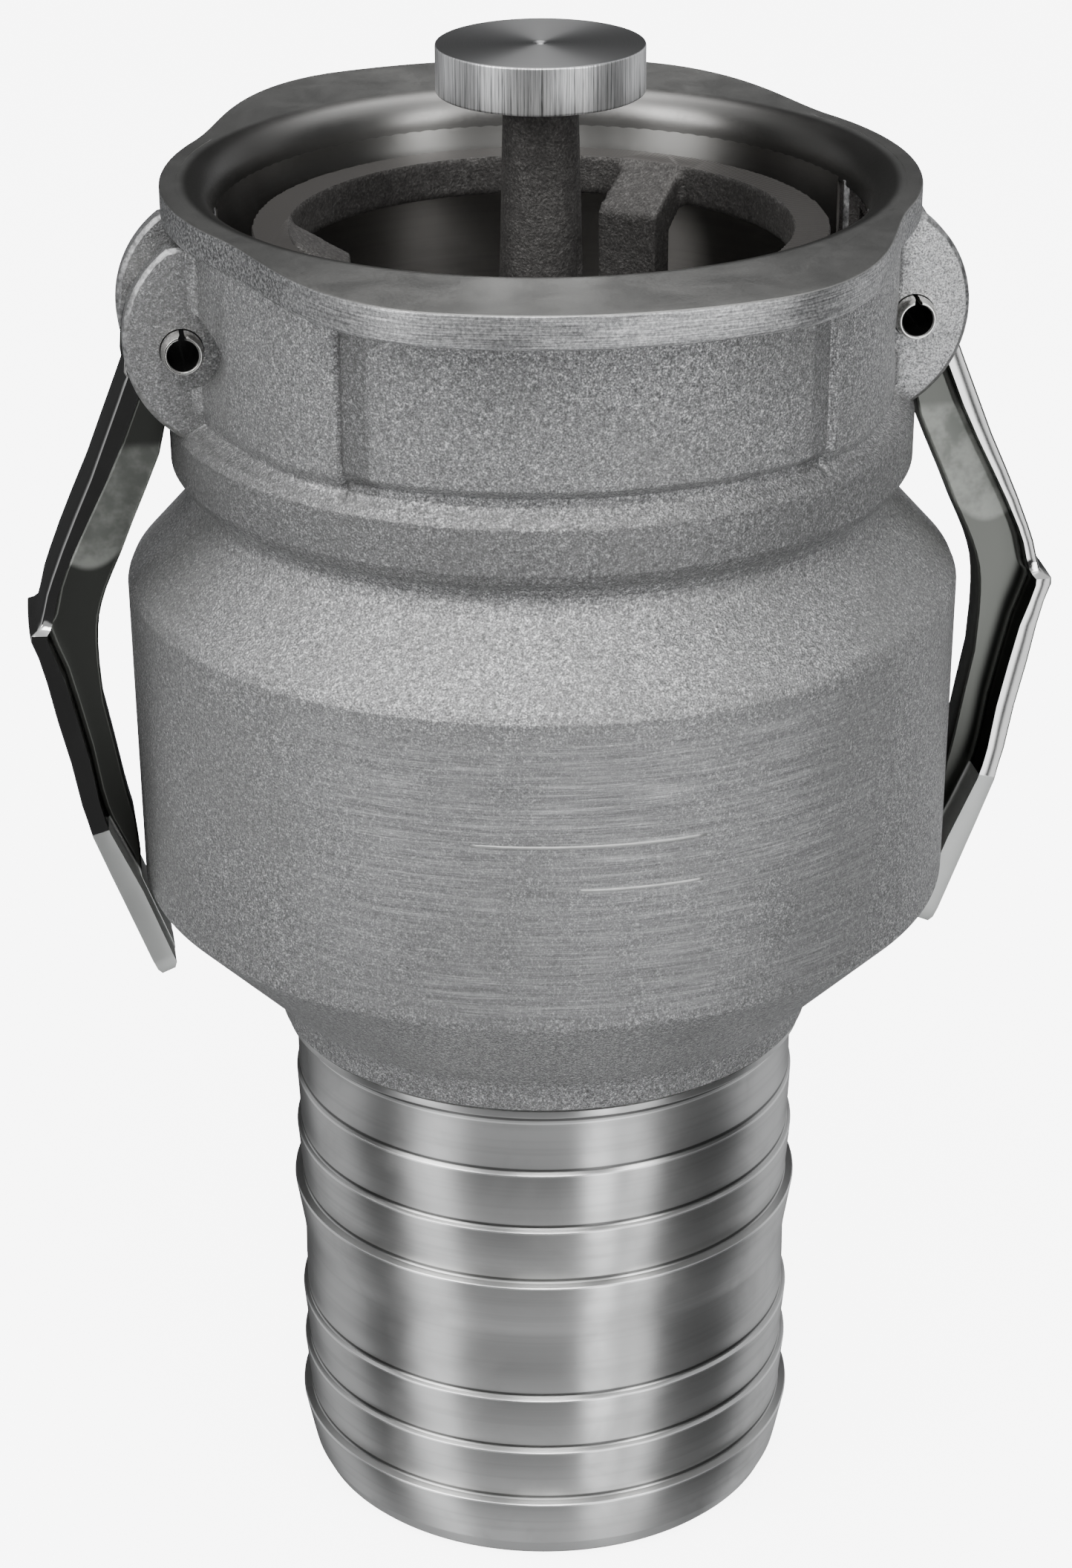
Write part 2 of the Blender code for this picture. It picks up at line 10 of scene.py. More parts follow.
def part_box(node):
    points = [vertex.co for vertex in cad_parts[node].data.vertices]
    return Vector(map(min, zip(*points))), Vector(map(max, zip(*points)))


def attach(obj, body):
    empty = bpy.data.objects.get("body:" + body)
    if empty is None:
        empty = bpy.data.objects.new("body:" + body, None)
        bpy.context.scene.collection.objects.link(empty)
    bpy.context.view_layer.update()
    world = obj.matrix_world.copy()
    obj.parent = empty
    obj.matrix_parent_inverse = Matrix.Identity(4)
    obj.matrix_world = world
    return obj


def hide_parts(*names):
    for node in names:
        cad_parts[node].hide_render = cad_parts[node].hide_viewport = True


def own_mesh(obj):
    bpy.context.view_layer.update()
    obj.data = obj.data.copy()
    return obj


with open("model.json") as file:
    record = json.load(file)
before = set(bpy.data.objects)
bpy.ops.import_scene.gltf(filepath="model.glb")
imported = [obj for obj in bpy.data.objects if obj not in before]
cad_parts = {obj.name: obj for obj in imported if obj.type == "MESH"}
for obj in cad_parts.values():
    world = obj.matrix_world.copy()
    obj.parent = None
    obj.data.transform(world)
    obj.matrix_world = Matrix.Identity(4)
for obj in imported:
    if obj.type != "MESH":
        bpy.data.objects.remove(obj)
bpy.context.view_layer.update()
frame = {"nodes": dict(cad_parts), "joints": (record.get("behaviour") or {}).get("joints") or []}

# The looks of a camlock hose coupling.  Lengths are in millimetres and become metres in the helpers, but
# the places that a material compares with x, y, z or a radius are in metres.
MM = 0.001
SMOOTH_STEPS = 160            # facets round a large turned piece
SMALL_STEPS = 64              # facets round a small one

HINGES = {joint["name"]: joint for joint in frame["joints"]}
PIN_X = HINGES["right_arm_hinge"]["pos_m"][0] / MM
PIN_Z = HINGES["right_arm_hinge"]["pos_m"][2] / MM


def cad_size(node):
    """Outer radius, low and high of a turned CAD node, in millimetres."""
    low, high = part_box(node)
    return high.x / MM, low.z / MM, high.z / MM


BULGE_R, _, RIM_TOP = cad_size("body")
RIM_T = 6.0                   # thickness of the rim flange
RIM_LOW = RIM_TOP - RIM_T
RIM_SIDE_R = 70.2             # rim radius beside the arms
RIM_LIP_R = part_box("body")[1].y / MM
BORE_R = 60.5
FLARE = 5.8                   # radius of the bell mouth
CHEEK_Z = 240.2               # foot of the head's cheeks
CHEEK_SIDE_R = 66.6
CHEEK_R = 70.2
PAD_Z = 241.4                 # foot of the raised pads
PAD_R = 72.1
UNDERCUT_R = 68.4             # between cheeks and belt
BELT_R = 70.7
GROOVE_Z = 220.0              # groove between the belt and the upper cone
GROOVE_R = 66.5
COLLAR_Z = 107.6              # foot of the casting, where the shank starts
SHANK_BORE_R = 46.5
SHANK_ROOT_R = 51.1
EAR_IN = 9.0                  # inner and outer face of an ear, from the middle of its arm
EAR_OUT = 14.0
EAR_FILLET = 1.8              # between an ear and the cheek
SLOT_LOW = 237.5              # foot of the arm slots
WINDOW_HALF = 13.2            # cam windows through the bore
WINDOW_LOW = 239.5
DEEP_IN = 50.0                # how near the axis the cutters of slots and windows reach
PIN_HOLE_R = 4.1
# Barbs of the shank: height and crest radius
BARBS = ((93.6, 51.7), (80.7, 52.1), (68.2, 53.0), (40.6, 52.2), (27.8, 52.3), (15.2, 53.0))
RING_TOP = cad_size("poppet_cage")[2] - 23.7
LEG_ANGLES = (54.0, 174.0, 294.0)
SCREW_ANGLES = (114.0, 234.0, 354.0)
SCREW_CIRCLE = 25.0

SIDES = (1, -1)               # right and left, or back and front
UPRIGHT = Matrix.Rotation(math.radians(90), 4, "X")


# ---- mesh helpers

def new_object(name, mesh):
    obj = bpy.data.objects.new(name, mesh)
    bpy.context.scene.collection.objects.link(obj)
    return obj


def from_bmesh(name, work):
    mesh = bpy.data.meshes.new(name)
    bmesh.ops.recalc_face_normals(work, faces=work.faces)
    work.to_mesh(mesh)
    work.free()
    return new_object(name, mesh)


def rounded(corners, segments=4):
    """Polyline with its corners rounded; each corner is (x, y) or (x, y, radius)."""
    points = []
    count = len(corners)
    for index, corner in enumerate(corners):
        here = Vector(corner[:2])
        radius = corner[2] if len(corner) > 2 else 0.0
        if radius <= 0 or index in (0, count - 1):
            points.append(tuple(here))
            continue
        back = Vector(corners[index - 1][:2]) - here
        ahead = Vector(corners[index + 1][:2]) - here
        half = back.angle(ahead) / 2
        reach = min(radius / math.tan(half), back.length * 0.49, ahead.length * 0.49)
        start = here + back.normalized() * reach
        end = here + ahead.normalized() * reach
        for step in range(segments + 1):
            t = step / segments
            points.append(tuple(start * (1 - t) ** 2 + here * 2 * t * (1 - t) + end * t ** 2))
    return points


def lathe(name, profile, steps=SMOOTH_STEPS, closed=False):
    """Turn a profile of (radius, height) pairs about Z.  Points on the axis become a single vertex."""
    work = bmesh.new()
    rows = []
    for radius, height in profile:
        if radius < 1e-6:
            rows.append([work.verts.new((0, 0, height * MM))])
            continue
        rows.append([work.verts.new((radius * MM * math.cos(math.tau * k / steps),
                                     radius * MM * math.sin(math.tau * k / steps), height * MM))
                     for k in range(steps)])
    pairs = list(zip(rows, rows[1:]))
    if closed:
        pairs.append((rows[-1], rows[0]))
    for upper, lower in pairs:
        for k in range(steps):
            n = (k + 1) % steps
            ring = [upper[k % len(upper)], upper[n % len(upper)], lower[n % len(lower)],
                    lower[k % len(lower)]]
            corners = []
            for vert in ring:
                if vert not in corners:
                    corners.append(vert)
            work.faces.new(corners)
    return from_bmesh(name, work)


def loft(name, sections, closed_ends=False):
    """Skin through rings of points that each go once round; the last joins the first unless it has ends."""
    work = bmesh.new()
    rings = [[work.verts.new(Vector(point) * MM) for point in section] for section in sections]
    pairs = list(zip(rings, rings[1:]))
    if not closed_ends:
        pairs.append((rings[-1], rings[0]))
    count = len(rings[0])
    for first, second in pairs:
        for a in range(count):
            b = (a + 1) % count
            work.faces.new((first[a], first[b], second[b], second[a]))
    if closed_ends:
        work.faces.new(rings[0][::-1])
        work.faces.new(rings[-1])
    return from_bmesh(name, work)


def around(section, angle):
    """Section of (radius, height) points stood up at an angle round the axis."""
    turn = math.radians(angle)
    return [(r * math.cos(turn), r * math.sin(turn), z) for r, z in section]


def prism(name, outline, half, place=Matrix()):
    """Flat outline in XY, thickened by half on each side along Z, then placed."""
    work = bmesh.new()
    lower = [work.verts.new((x * MM, y * MM, -half * MM)) for x, y in outline]
    upper = [work.verts.new((x * MM, y * MM, half * MM)) for x, y in outline]
    work.faces.new(lower[::-1])
    work.faces.new(upper)
    count = len(outline)
    for k in range(count):
        n = (k + 1) % count
        work.faces.new((lower[k], lower[n], upper[n], upper[k]))
    bmesh.ops.transform(work, matrix=place, verts=work.verts)
    return from_bmesh(name, work)


def block(name, low, high):
    work = bmesh.new()
    bmesh.ops.create_cube(work, size=1.0)
    size = Vector(high) - Vector(low)
    middle = (Vector(high) + Vector(low)) / 2
    place = Matrix.Translation(middle * MM) @ Matrix.Diagonal((*(size * MM), 1.0))
    bmesh.ops.transform(work, matrix=place, verts=work.verts)
    return from_bmesh(name, work)


def rod(name, radius, half, centre, axis="Z", steps=SMALL_STEPS):
    work = bmesh.new()
    bmesh.ops.create_cone(work, cap_ends=True, segments=steps, radius1=radius * MM, radius2=radius * MM,
                          depth=2 * half * MM)
    turn = {"Z": Matrix(), "Y": Matrix.Rotation(math.radians(-90), 4, "X")}[axis]
    bmesh.ops.transform(work, matrix=Matrix.Translation(Vector(centre) * MM) @ turn, verts=work.verts)
    return from_bmesh(name, work)


def apply_all(obj):
    """Replace the mesh with what the modifiers make of it."""
    bpy.context.view_layer.update()
    graph = bpy.context.evaluated_depsgraph_get()
    old = obj.data
    obj.data = bpy.data.meshes.new_from_object(obj.evaluated_get(graph))
    obj.modifiers.clear()
    bpy.data.meshes.remove(old)


def combine(target, tools, operation):
    for tool in tools:
        step = target.modifiers.new("combine", "BOOLEAN")
        step.operation = operation
        step.solver = "EXACT"
        step.object = tool
        apply_all(target)
        bpy.data.objects.remove(tool, do_unlink=True)
    return target


def join(target, *tools):
    return combine(target, tools, "UNION")


def cut(target, *tools):
    return combine(target, tools, "DIFFERENCE")


def spin(obj, degrees):
    obj.data.transform(Matrix.Rotation(math.radians(degrees), 4, "Z"))
    return obj


def soften(obj, voxel, passes):
    """Give a joined solid the rounded edges of a casting: remesh it finely, then relax it."""
    remesh = obj.modifiers.new("remesh", "REMESH")
    remesh.mode = "VOXEL"
    remesh.voxel_size = voxel * MM
    relax = obj.modifiers.new("relax", "SMOOTH")
    relax.factor = 0.5
    relax.iterations = passes
    apply_all(obj)
    return obj


def bevelled(obj, width, segments=2, angle=35, paint=-1):
    bevel = obj.modifiers.new("bevel", "BEVEL")
    bevel.material = paint
    bevel.width = width * MM
    bevel.segments = segments
    bevel.limit_method = "ANGLE"
    bevel.angle_limit = math.radians(angle)
    apply_all(obj)
    return obj


def arc(centre, radius, start, end, count):
    angles = [math.radians(start + (end - start) * i / count) for i in range(count + 1)]
    return [(centre[0] + radius * math.cos(a), centre[1] + radius * math.sin(a)) for a in angles]


def finish_piece(obj, name, material, body, nodes, sharp=32):
    """Name, shade and paint a piece, and tie it to its body and the CAD nodes it stands for.

    A piece that already has its materials is finished with None for the material.
    """
    obj.name = name
    obj.data.name = name
    if material:
        obj.data.materials.clear()
        obj.data.materials.append(material)
    obj.data.shade_smooth()
    if sharp:
        obj.data.set_sharp_from_angle(angle=math.radians(sharp))
    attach(obj, body)
    if nodes:
        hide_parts(*nodes)


def finish_body(obj, name, material, sharp=32, nodes=("body",)):
    """Finish a piece of the body's castings and machined faces."""
    finish_piece(obj, name, material, "coupling_body", nodes, sharp)


# ---- material helpers

class Nodes:
    """Short way to build the nodes of a material, or of the world."""

    def __init__(self, name, world=False):
        self.owner = (bpy.data.worlds if world else bpy.data.materials).new(name)
        self.owner.use_nodes = True
        self.tree = self.owner.node_tree
        self.shader = self.tree.nodes["Background" if world else "Principled BSDF"]
        self.place = self.add("ShaderNodeTexCoord").outputs["Generated" if world else "Object"]

    def add(self, kind, **values):
        node = self.tree.nodes.new(kind)
        for key, value in values.items():
            setattr(node, key, value)
        return node

    def feed(self, node, **inputs):
        """Set or link inputs, by name (with _ for a space) or by number (i0, i1 and so on)."""
        for key, value in inputs.items():
            numbered = key[0] == "i" and key[1:].isdigit()
            socket = node.inputs[int(key[1:]) if numbered else key.replace("_", " ")]
            if isinstance(value, bpy.types.NodeSocket):
                self.tree.links.new(value, socket)
            else:
                socket.default_value = value
        return node

    def stretch(self, x, y, z):
        """Coordinates for features x, y and z millimetres long."""
        node = self.add("ShaderNodeMapping")
        self.feed(node, Vector=self.place, Scale=(1 / (x * MM), 1 / (y * MM), 1 / (z * MM)))
        return node.outputs["Vector"]

    def stretch_value(self, value, size):
        """A one-way coordinate from a length in metres, for features size millimetres apart."""
        node = self.add("ShaderNodeCombineXYZ")
        self.feed(node, X=self.times(value, 1 / (size * MM)))
        return node.outputs["Vector"]

    def noise(self, size, detail=3.0, rough=0.55, vector=None, distortion=0.0):
        """Noise whose features are about size millimetres across, or any vector already scaled."""
        node = self.add("ShaderNodeTexNoise")
        scale = 1.0 if vector is not None else 1.0 / (size * MM)
        self.feed(node, Vector=vector or self.place, Scale=scale, Detail=detail, Roughness=rough,
                  Distortion=distortion)
        return node.outputs["Fac"]

    def ramp(self, value, *stops):
        """Grey ramp through (position, level) stops."""
        node = self.add("ShaderNodeValToRGB")
        band = node.color_ramp
        while len(band.elements) < len(stops):
            band.elements.new(0.5)
        for element, (position, level) in zip(band.elements, stops):
            element.position = position
            colour = level if isinstance(level, tuple) else (level, level, level)
            element.color = (*colour, 1.0)
        self.feed(node, Fac=value)
        return node.outputs["Color"]

    def math(self, operation, first, second=0.0):
        node = self.add("ShaderNodeMath", operation=operation)
        self.feed(node, i0=first, i1=second)
        return node.outputs[0]

    def times(self, first, *others):
        for other in others:
            first = self.math("MULTIPLY", first, other)
        return first

    def plus(self, first, second):
        return self.math("ADD", first, second)

    def minus(self, first, second):
        return self.math("SUBTRACT", first, second)

    def flip(self, value):
        return self.minus(1.0, value)

    def absolute(self, value):
        return self.math("ABSOLUTE", value)

    def length(self, first, second):
        """Length of the diagonal of two sides."""
        return self.math("SQRT", self.plus(self.times(first, first), self.times(second, second)))

    def between(self, value, low, high):
        """0 below low, 1 above high, smooth between."""
        node = self.add("ShaderNodeMapRange", interpolation_type="SMOOTHSTEP")
        self.feed(node, Value=value, From_Min=low, From_Max=high)
        return node.outputs["Result"]

    def below(self, value, low, high):
        """1 below low, 0 above high, smooth between."""
        return self.flip(self.between(value, low, high))

    def line(self, value, centre, half):
        """1 on a thin line at centre millimetres, fading to 0 at half millimetres either side."""
        away = self.absolute(self.minus(value, centre * MM))
        return self.below(away, half * 0.4 * MM, half * MM)

    def turned_tangent(self):
        """Direction of the tool marks on a piece turned about Z."""
        return self.add("ShaderNodeTangent", direction_type="RADIAL", axis="Z").outputs["Tangent"]

    def mix(self, factor, first, second):
        """Mix of two colours, each a socket or three levels."""
        first, second = ((*c, 1.0) if isinstance(c, tuple) else c for c in (first, second))
        node = self.add("ShaderNodeMix", data_type="RGBA", clamp_factor=True)
        self.feed(node, i0=factor, i6=first, i7=second)
        return node.outputs[2]

    def blend(self, factor, first, second):
        """Mix of two plain values."""
        node = self.add("ShaderNodeMix", data_type="FLOAT", clamp_factor=True)
        self.feed(node, i0=factor, i2=first, i3=second)
        return node.outputs[0]

    def facing(self):
        """Surface direction in the object's own frame, as x, y and z."""
        node = self.add("ShaderNodeSeparateXYZ")
        self.feed(node, Vector=self.add("ShaderNodeTexCoord").outputs["Normal"])
        return node.outputs

    def world_up(self):
        """How far the surface faces up: 1 on a flat top, 0 on a wall."""
        node = self.add("ShaderNodeSeparateXYZ")
        self.feed(node, Vector=self.add("ShaderNodeNewGeometry").outputs["Normal"])
        return node.outputs["Z"]

    def axes(self):
        node = self.add("ShaderNodeSeparateXYZ")
        self.feed(node, Vector=self.place)
        return node.outputs

    def round_axis(self):
        """Angle round Z in radians, and height, from the object's own coordinates."""
        x, y, z = self.axes()
        return self.math("ARCTAN2", y, x), z

    def wrapped(self, radius, along, up):
        """Coordinates laid round a cylinder: features along mm long round it, and up mm high."""
        angle, height = self.round_axis()
        node = self.add("ShaderNodeCombineXYZ")
        self.feed(node, X=self.times(angle, radius / along), Y=self.times(height, 1.0 / (up * MM)))
        return node.outputs["Vector"]

    def bump(self, height, depth):
        """Bump whose full height is depth millimetres."""
        node = self.add("ShaderNodeBump")
        self.feed(node, Height=height, Distance=depth * MM, Strength=1.0)
        return node.outputs["Normal"]

    def done(self, colour, roughness, normal=None, metallic=1.0, **more):
        self.feed(self.shader, Base_Color=colour, Roughness=roughness, Metallic=metallic, **more)
        if normal is not None:
            self.feed(self.shader, Normal=normal)
        return self.owner


# ---- materials

def cast_grain(n, size):
    """Height of a sand casting's skin, grains and odd pits over gentle waves, and the grains on their own."""
    fine = n.noise(size, rough=0.65)
    coarse = n.noise(size * 2.4, detail=2.0, rough=0.5)
    grains = n.plus(n.times(fine, 0.72), n.times(coarse, 0.28))
    pits = n.between(n.noise(2.3, detail=2.0), 0.62, 0.80)
    waves = n.noise(9.0, detail=2.0)
    height = n.plus(n.times(grains, 1.7), n.times(waves, 2.0))
    height = n.minus(height, n.times(pits, 0.6))
    return height, grains


# Painted shade: a dark grey laid on the head where shade falls.
PAINTED_SHADE = (0.09, 0.09, 0.088)     # colours are three levels from 0 to 1


def ear_mask(n, sideways, off_middle, z):
    """1 on the ears of the side that sideways points to."""
    return n.times(n.between(sideways, 0.064, 0.0675), n.below(off_middle, 0.0145, 0.017),
                   n.between(z, 0.234, 0.24))


def head_painted_light(n, colour, grains):
    """Painted shade in the step beside the pads, on the belt, low on the casting, in the slots and on the
    left ears, and a painted highlight on the right ears.
    """
    angle, z = n.round_axis()
    x, y, _ = n.axes()
    # Painted shadow in the step beside each raised pad.
    from_front = n.absolute(n.minus(n.absolute(angle), math.radians(90)))
    step = n.times(n.between(from_front, math.radians(32.6), math.radians(33.6)),
                   n.below(from_front, math.radians(38.6), math.radians(39.3)), n.between(z, 0.235, 0.2375))
    colour = n.mix(n.times(step, 0.34), colour, (0.06, 0.06, 0.058))
    # Painted shade on the belt, and darker towards the foot of the casting.
    belt = n.times(n.between(z, 0.222, 0.224), n.below(z, 0.236, 0.237))
    low = n.below(z, 0.135, 0.178)
    colour = n.mix(n.plus(n.times(belt, 0.38), n.times(low, 0.18)), colour, PAINTED_SHADE)
    wide = n.absolute(y)
    # Painted shade inside the arm slots and bore windows.
    inside = n.times(n.below(wide, 0.01325, 0.0134), n.below(n.absolute(x), 0.0655, 0.067),
                     n.between(z, 0.2372, 0.238))
    colour = n.mix(n.times(inside, 0.85), colour, (0.035, 0.03, 0.027))
    # Painted highlight: the right ears lighter than the left.
    bright = n.ramp(grains, (0.38, 0.22), (0.50, 0.62), (0.60, 1.0))
    colour = n.mix(n.times(ear_mask(n, x, wide, z), 0.8), colour, bright)
    # Painted shade on the left ears.
    return n.mix(n.times(ear_mask(n, n.times(x, -1.0), wide, z), 0.3), colour, PAINTED_SHADE)


def cast_aluminium():
    """Sand cast skin, linished across the front and back of the bulge."""
    n = Nodes("cast_aluminium")
    height, grains = cast_grain(n, 0.36)
    _, y, z = n.axes()
    bulge = n.times(n.between(z, 0.139, 0.146), n.below(z, 0.194, 0.2035))
    facing = n.between(n.absolute(y), 0.052, 0.072)
    patch = n.between(n.noise(22.0, detail=5.0, rough=0.65, distortion=0.3), 0.20, 0.72)
    worn = n.times(bulge, n.times(facing, patch))
    scratch = n.noise(1.0, detail=5.0, rough=0.75, vector=n.wrapped(BULGE_R, 11.0, 0.28))
    streak = n.noise(1.0, rough=0.6, vector=n.wrapped(BULGE_R, 26.0, 1.1))
    flat = n.plus(n.times(scratch, 1.1), n.times(grains, 0.7))
    height = n.blend(n.times(worn, 0.8), height, n.plus(flat, 1.2))
    normal = n.bump(height, 0.15)
    stain = n.noise(24.0, detail=4.0, rough=0.6)
    speck = n.ramp(grains, (0.36, 0.13), (0.46, 0.25), (0.55, 0.40), (0.64, 0.95))
    colour = n.mix(n.times(n.between(stain, 0.35, 0.75), 0.4), speck, (0.24, 0.24, 0.235))
    lined = n.ramp(n.plus(n.times(scratch, 0.6), n.times(streak, 0.4)), (0.38, 0.17), (0.5, 0.34),
                   (0.62, 0.74))
    colour = n.mix(n.times(worn, 0.75), colour, lined)
    # Painted shade and a painted highlight on the head and the lower casting.
    colour = head_painted_light(n, colour, grains)
    rough = n.blend(worn, n.blend(n.between(grains, 0.38, 0.62), 0.58, 0.34), n.blend(scratch, 0.34, 0.46))
    return n.done(colour, rough, normal, metallic=0.9)


def chamfer_metal():
    """Linished edge of a casting: bright, with short rough breaks towards its foot."""
    n = Nodes("linished_edge")
    _, _, z = n.axes()
    fine = n.noise(0.6, detail=4.0, rough=0.7)
    breaks = n.times(n.between(n.noise(1.6), 0.5, 0.62), n.below(z, 0.236, 0.256))
    foot = n.below(z, 0.238, 0.254)
    blotch = n.times(n.plus(fine, n.noise(1.4, rough=0.6)), 0.5)
    bright = n.ramp(blotch, (0.40, 0.15), (0.50, 0.30), (0.60, 0.52))
    colour = n.mix(n.math("MAXIMUM", breaks, n.times(foot, 0.7)), bright, (0.24, 0.24, 0.23))
    normal = n.bump(n.plus(fine, n.times(breaks, -3.0)), 0.05)
    return n.done(colour, n.blend(fine, 0.44, 0.58), normal, metallic=0.95)


def rough_cast_dark():
    """Dark, coarse casting, faced flat on top of its ring."""
    n = Nodes("dark_cast")
    height, grains = cast_grain(n, 0.5)
    lumps = n.noise(4.0, rough=0.6)
    height = n.plus(height, n.times(lumps, 2.2))
    x, _, z = n.axes()
    up = n.world_up()
    faced = n.times(n.between(z, RING_TOP * MM - 0.0004, RING_TOP * MM - 0.0001),
                    n.between(up, 0.9, 0.98))
    angle, _ = n.round_axis()
    chatter = n.math("SINE", n.times(angle, 420.0))
    side = n.between(x, 0.015, 0.045)
    smooth = n.plus(n.times(chatter, side, 0.16), n.times(n.noise(0.4), 0.12))
    normal = n.bump(n.blend(faced, height, n.plus(smooth, 3.0)), 0.14)
    colour = n.ramp(grains, (0.36, (0.054, 0.051, 0.049)), (0.54, (0.092, 0.088, 0.084)),
                    (0.66, (0.155, 0.150, 0.143)))
    marks = n.times(n.between(chatter, -0.2, 0.8), n.times(side, 0.6))
    colour = n.mix(faced, colour, n.mix(marks, (0.115, 0.108, 0.102), (0.055, 0.052, 0.049)))
    rough = n.blend(faced, n.blend(grains, 0.70, 0.48), 0.36)
    return n.done(colour, rough, normal, metallic=0.8)


def machined(name, colour, rough, pitch=0.16, depth=0.004, crests=(), bright_above=None):
    """Turned metal with feed lines, faint bands and smudges.

    Each height in crests has a painted highlight line just under it and a painted shadow line at its root.
    Above bright_above, the back has a painted highlight.
    """
    n = Nodes(name)
    angle, z = n.round_axis()
    lines = n.noise(1.0, rough=0.7, vector=n.wrapped(55.0, 220.0, pitch))
    broad = n.noise(1.0, detail=2.0, rough=0.6, vector=n.wrapped(55.0, 400.0, pitch * 14))
    smudge = n.between(n.noise(17.0, detail=5.0, rough=0.62, distortion=0.4), 0.42, 0.72)
    nick = n.between(n.noise(1.9, detail=2.0), 0.74, 0.80)
    height = n.plus(lines, n.times(broad, 1.5))
    height = n.minus(height, n.times(nick, 2.5))
    normal = n.bump(height, depth)
    tone = n.mix(n.times(smudge, 0.16), colour, (0.12, 0.12, 0.11))
    tone = n.mix(n.times(lines, 0.3), tone, tuple(c * 0.72 for c in colour))
    tone = n.mix(n.times(n.between(broad, 0.45, 0.65), 0.22), tone, tuple(c * 0.6 for c in colour))
    # Painted highlight under each crest and painted shadow at its root.
    for crest in crests:
        root_shadow = n.line(z, crest + 0.95, 0.55)
        tone = n.mix(n.times(root_shadow, 0.8), tone, (0.05, 0.05, 0.048))
        tone = n.mix(n.line(z, crest - 0.15, 0.3), tone, (0.95, 0.95, 0.94))
    # Painted highlight on the upper back of the bore.
    if bright_above is not None:
        rear = n.between(n.math("SINE", angle), 0.55, 0.92)
        rear_highlight = n.times(rear, n.between(z, (bright_above - 1.0) * MM, (bright_above + 1.0) * MM))
        tone = n.mix(rear_highlight, tone, (0.38, 0.375, 0.36))
    value = n.plus(n.blend(smudge, rough, rough + 0.08), n.times(broad, 0.1))
    return n.done(tone, value, normal, metallic=1.0, Anisotropic=0.85, Anisotropic_Rotation=0.25,
                  Tangent=n.turned_tangent())


def polished_stainless():
    """Polished arms: web in painted shade, darker on the left arm and low down, a matt patch with a painted
    sheen, painted shade in the hollows and on the cam lobe, bright flanges, and the finger tips ground dull.
    """
    n = Nodes("polished_stainless")
    x, y, z = n.axes()
    wide = n.absolute(x)
    haze = n.noise(9.0, detail=4.0, rough=0.6)
    fine = n.noise(1.0, vector=n.stretch(4.0, 0.5, 0.12))
    tip = n.minus(0.1795, n.plus(z, n.times(wide, 0.27)))
    plate = n.between(n.minus(wide, n.times(z, 0.44)), 0.0182, 0.0186)
    ground = n.times(n.between(tip, 0.0, 0.0004), plate)
    outward = n.times(n.facing()["X"], n.math("SIGN", x))
    inner_side = n.below(outward, 0.25, 0.5)
    off_middle = n.absolute(y)
    web = n.times(n.below(off_middle, 0.0037, 0.0046), inner_side)
    hollow = n.times(n.below(off_middle, 0.0072, 0.008), inner_side)
    hollow = n.math("MAXIMUM", hollow, n.below(outward, -0.3, -0.06))
    cam = n.below(wide, 0.0655, 0.0672)
    grain = n.noise(0.7, rough=0.65)
    off_centre = n.minus(wide, 0.0875)
    lower_end = n.minus(z, n.times(off_centre, off_centre, 90.0))
    patch = n.times(n.between(lower_end, 0.2062, 0.2078), n.below(z, 0.229, 0.2315), web)
    normal = n.bump(n.plus(fine, n.times(cam, grain, 40.0)), 0.003)
    rough = n.blend(web, n.blend(haze, 0.07, 0.13), n.blend(patch, 0.32, 0.42))
    rough = n.blend(ground, rough, n.blend(fine, 0.40, 0.50))
    rough = n.blend(cam, rough, 0.62)
    colour = n.mix(haze, (0.56, 0.555, 0.54), (0.66, 0.655, 0.64))
    # Painted shade on the web: darker on the left arm than on the right, and darker low down.
    shade = n.blend(n.between(x, -0.01, 0.01), 0.075, 0.13)
    low_web = n.add("ShaderNodeCombineColor")
    n.feed(low_web, Red=shade, Green=n.times(shade, 1.03), Blue=n.times(shade, 0.94))
    low_web = n.mix(n.between(z, 0.14, 0.19), (0.025, 0.025, 0.023), low_web.outputs["Color"])
    # The matt patch is made lighter with a painted sheen.
    patch_painted_sheen = n.mix(n.between(haze, 0.38, 0.62), (0.2, 0.208, 0.19), (0.36, 0.37, 0.34))
    # Painted shade in the hollows beside the flanges and on faces turned towards the axis, darker low down.
    colour = n.mix(hollow, colour,
                   n.mix(n.between(z, 0.16, 0.2), (0.03, 0.03, 0.028), (0.12, 0.122, 0.115)))
    colour = n.mix(web, colour, n.mix(patch, low_web, patch_painted_sheen))
    # Painted shade on the cam lobe inside the body.
    colour = n.mix(cam, colour, (0.1, 0.098, 0.092))
    colour = n.mix(ground, colour, n.mix(haze, (0.66, 0.67, 0.65), (0.54, 0.55, 0.53)))
    return n.done(colour, rough, normal, metallic=1.0)


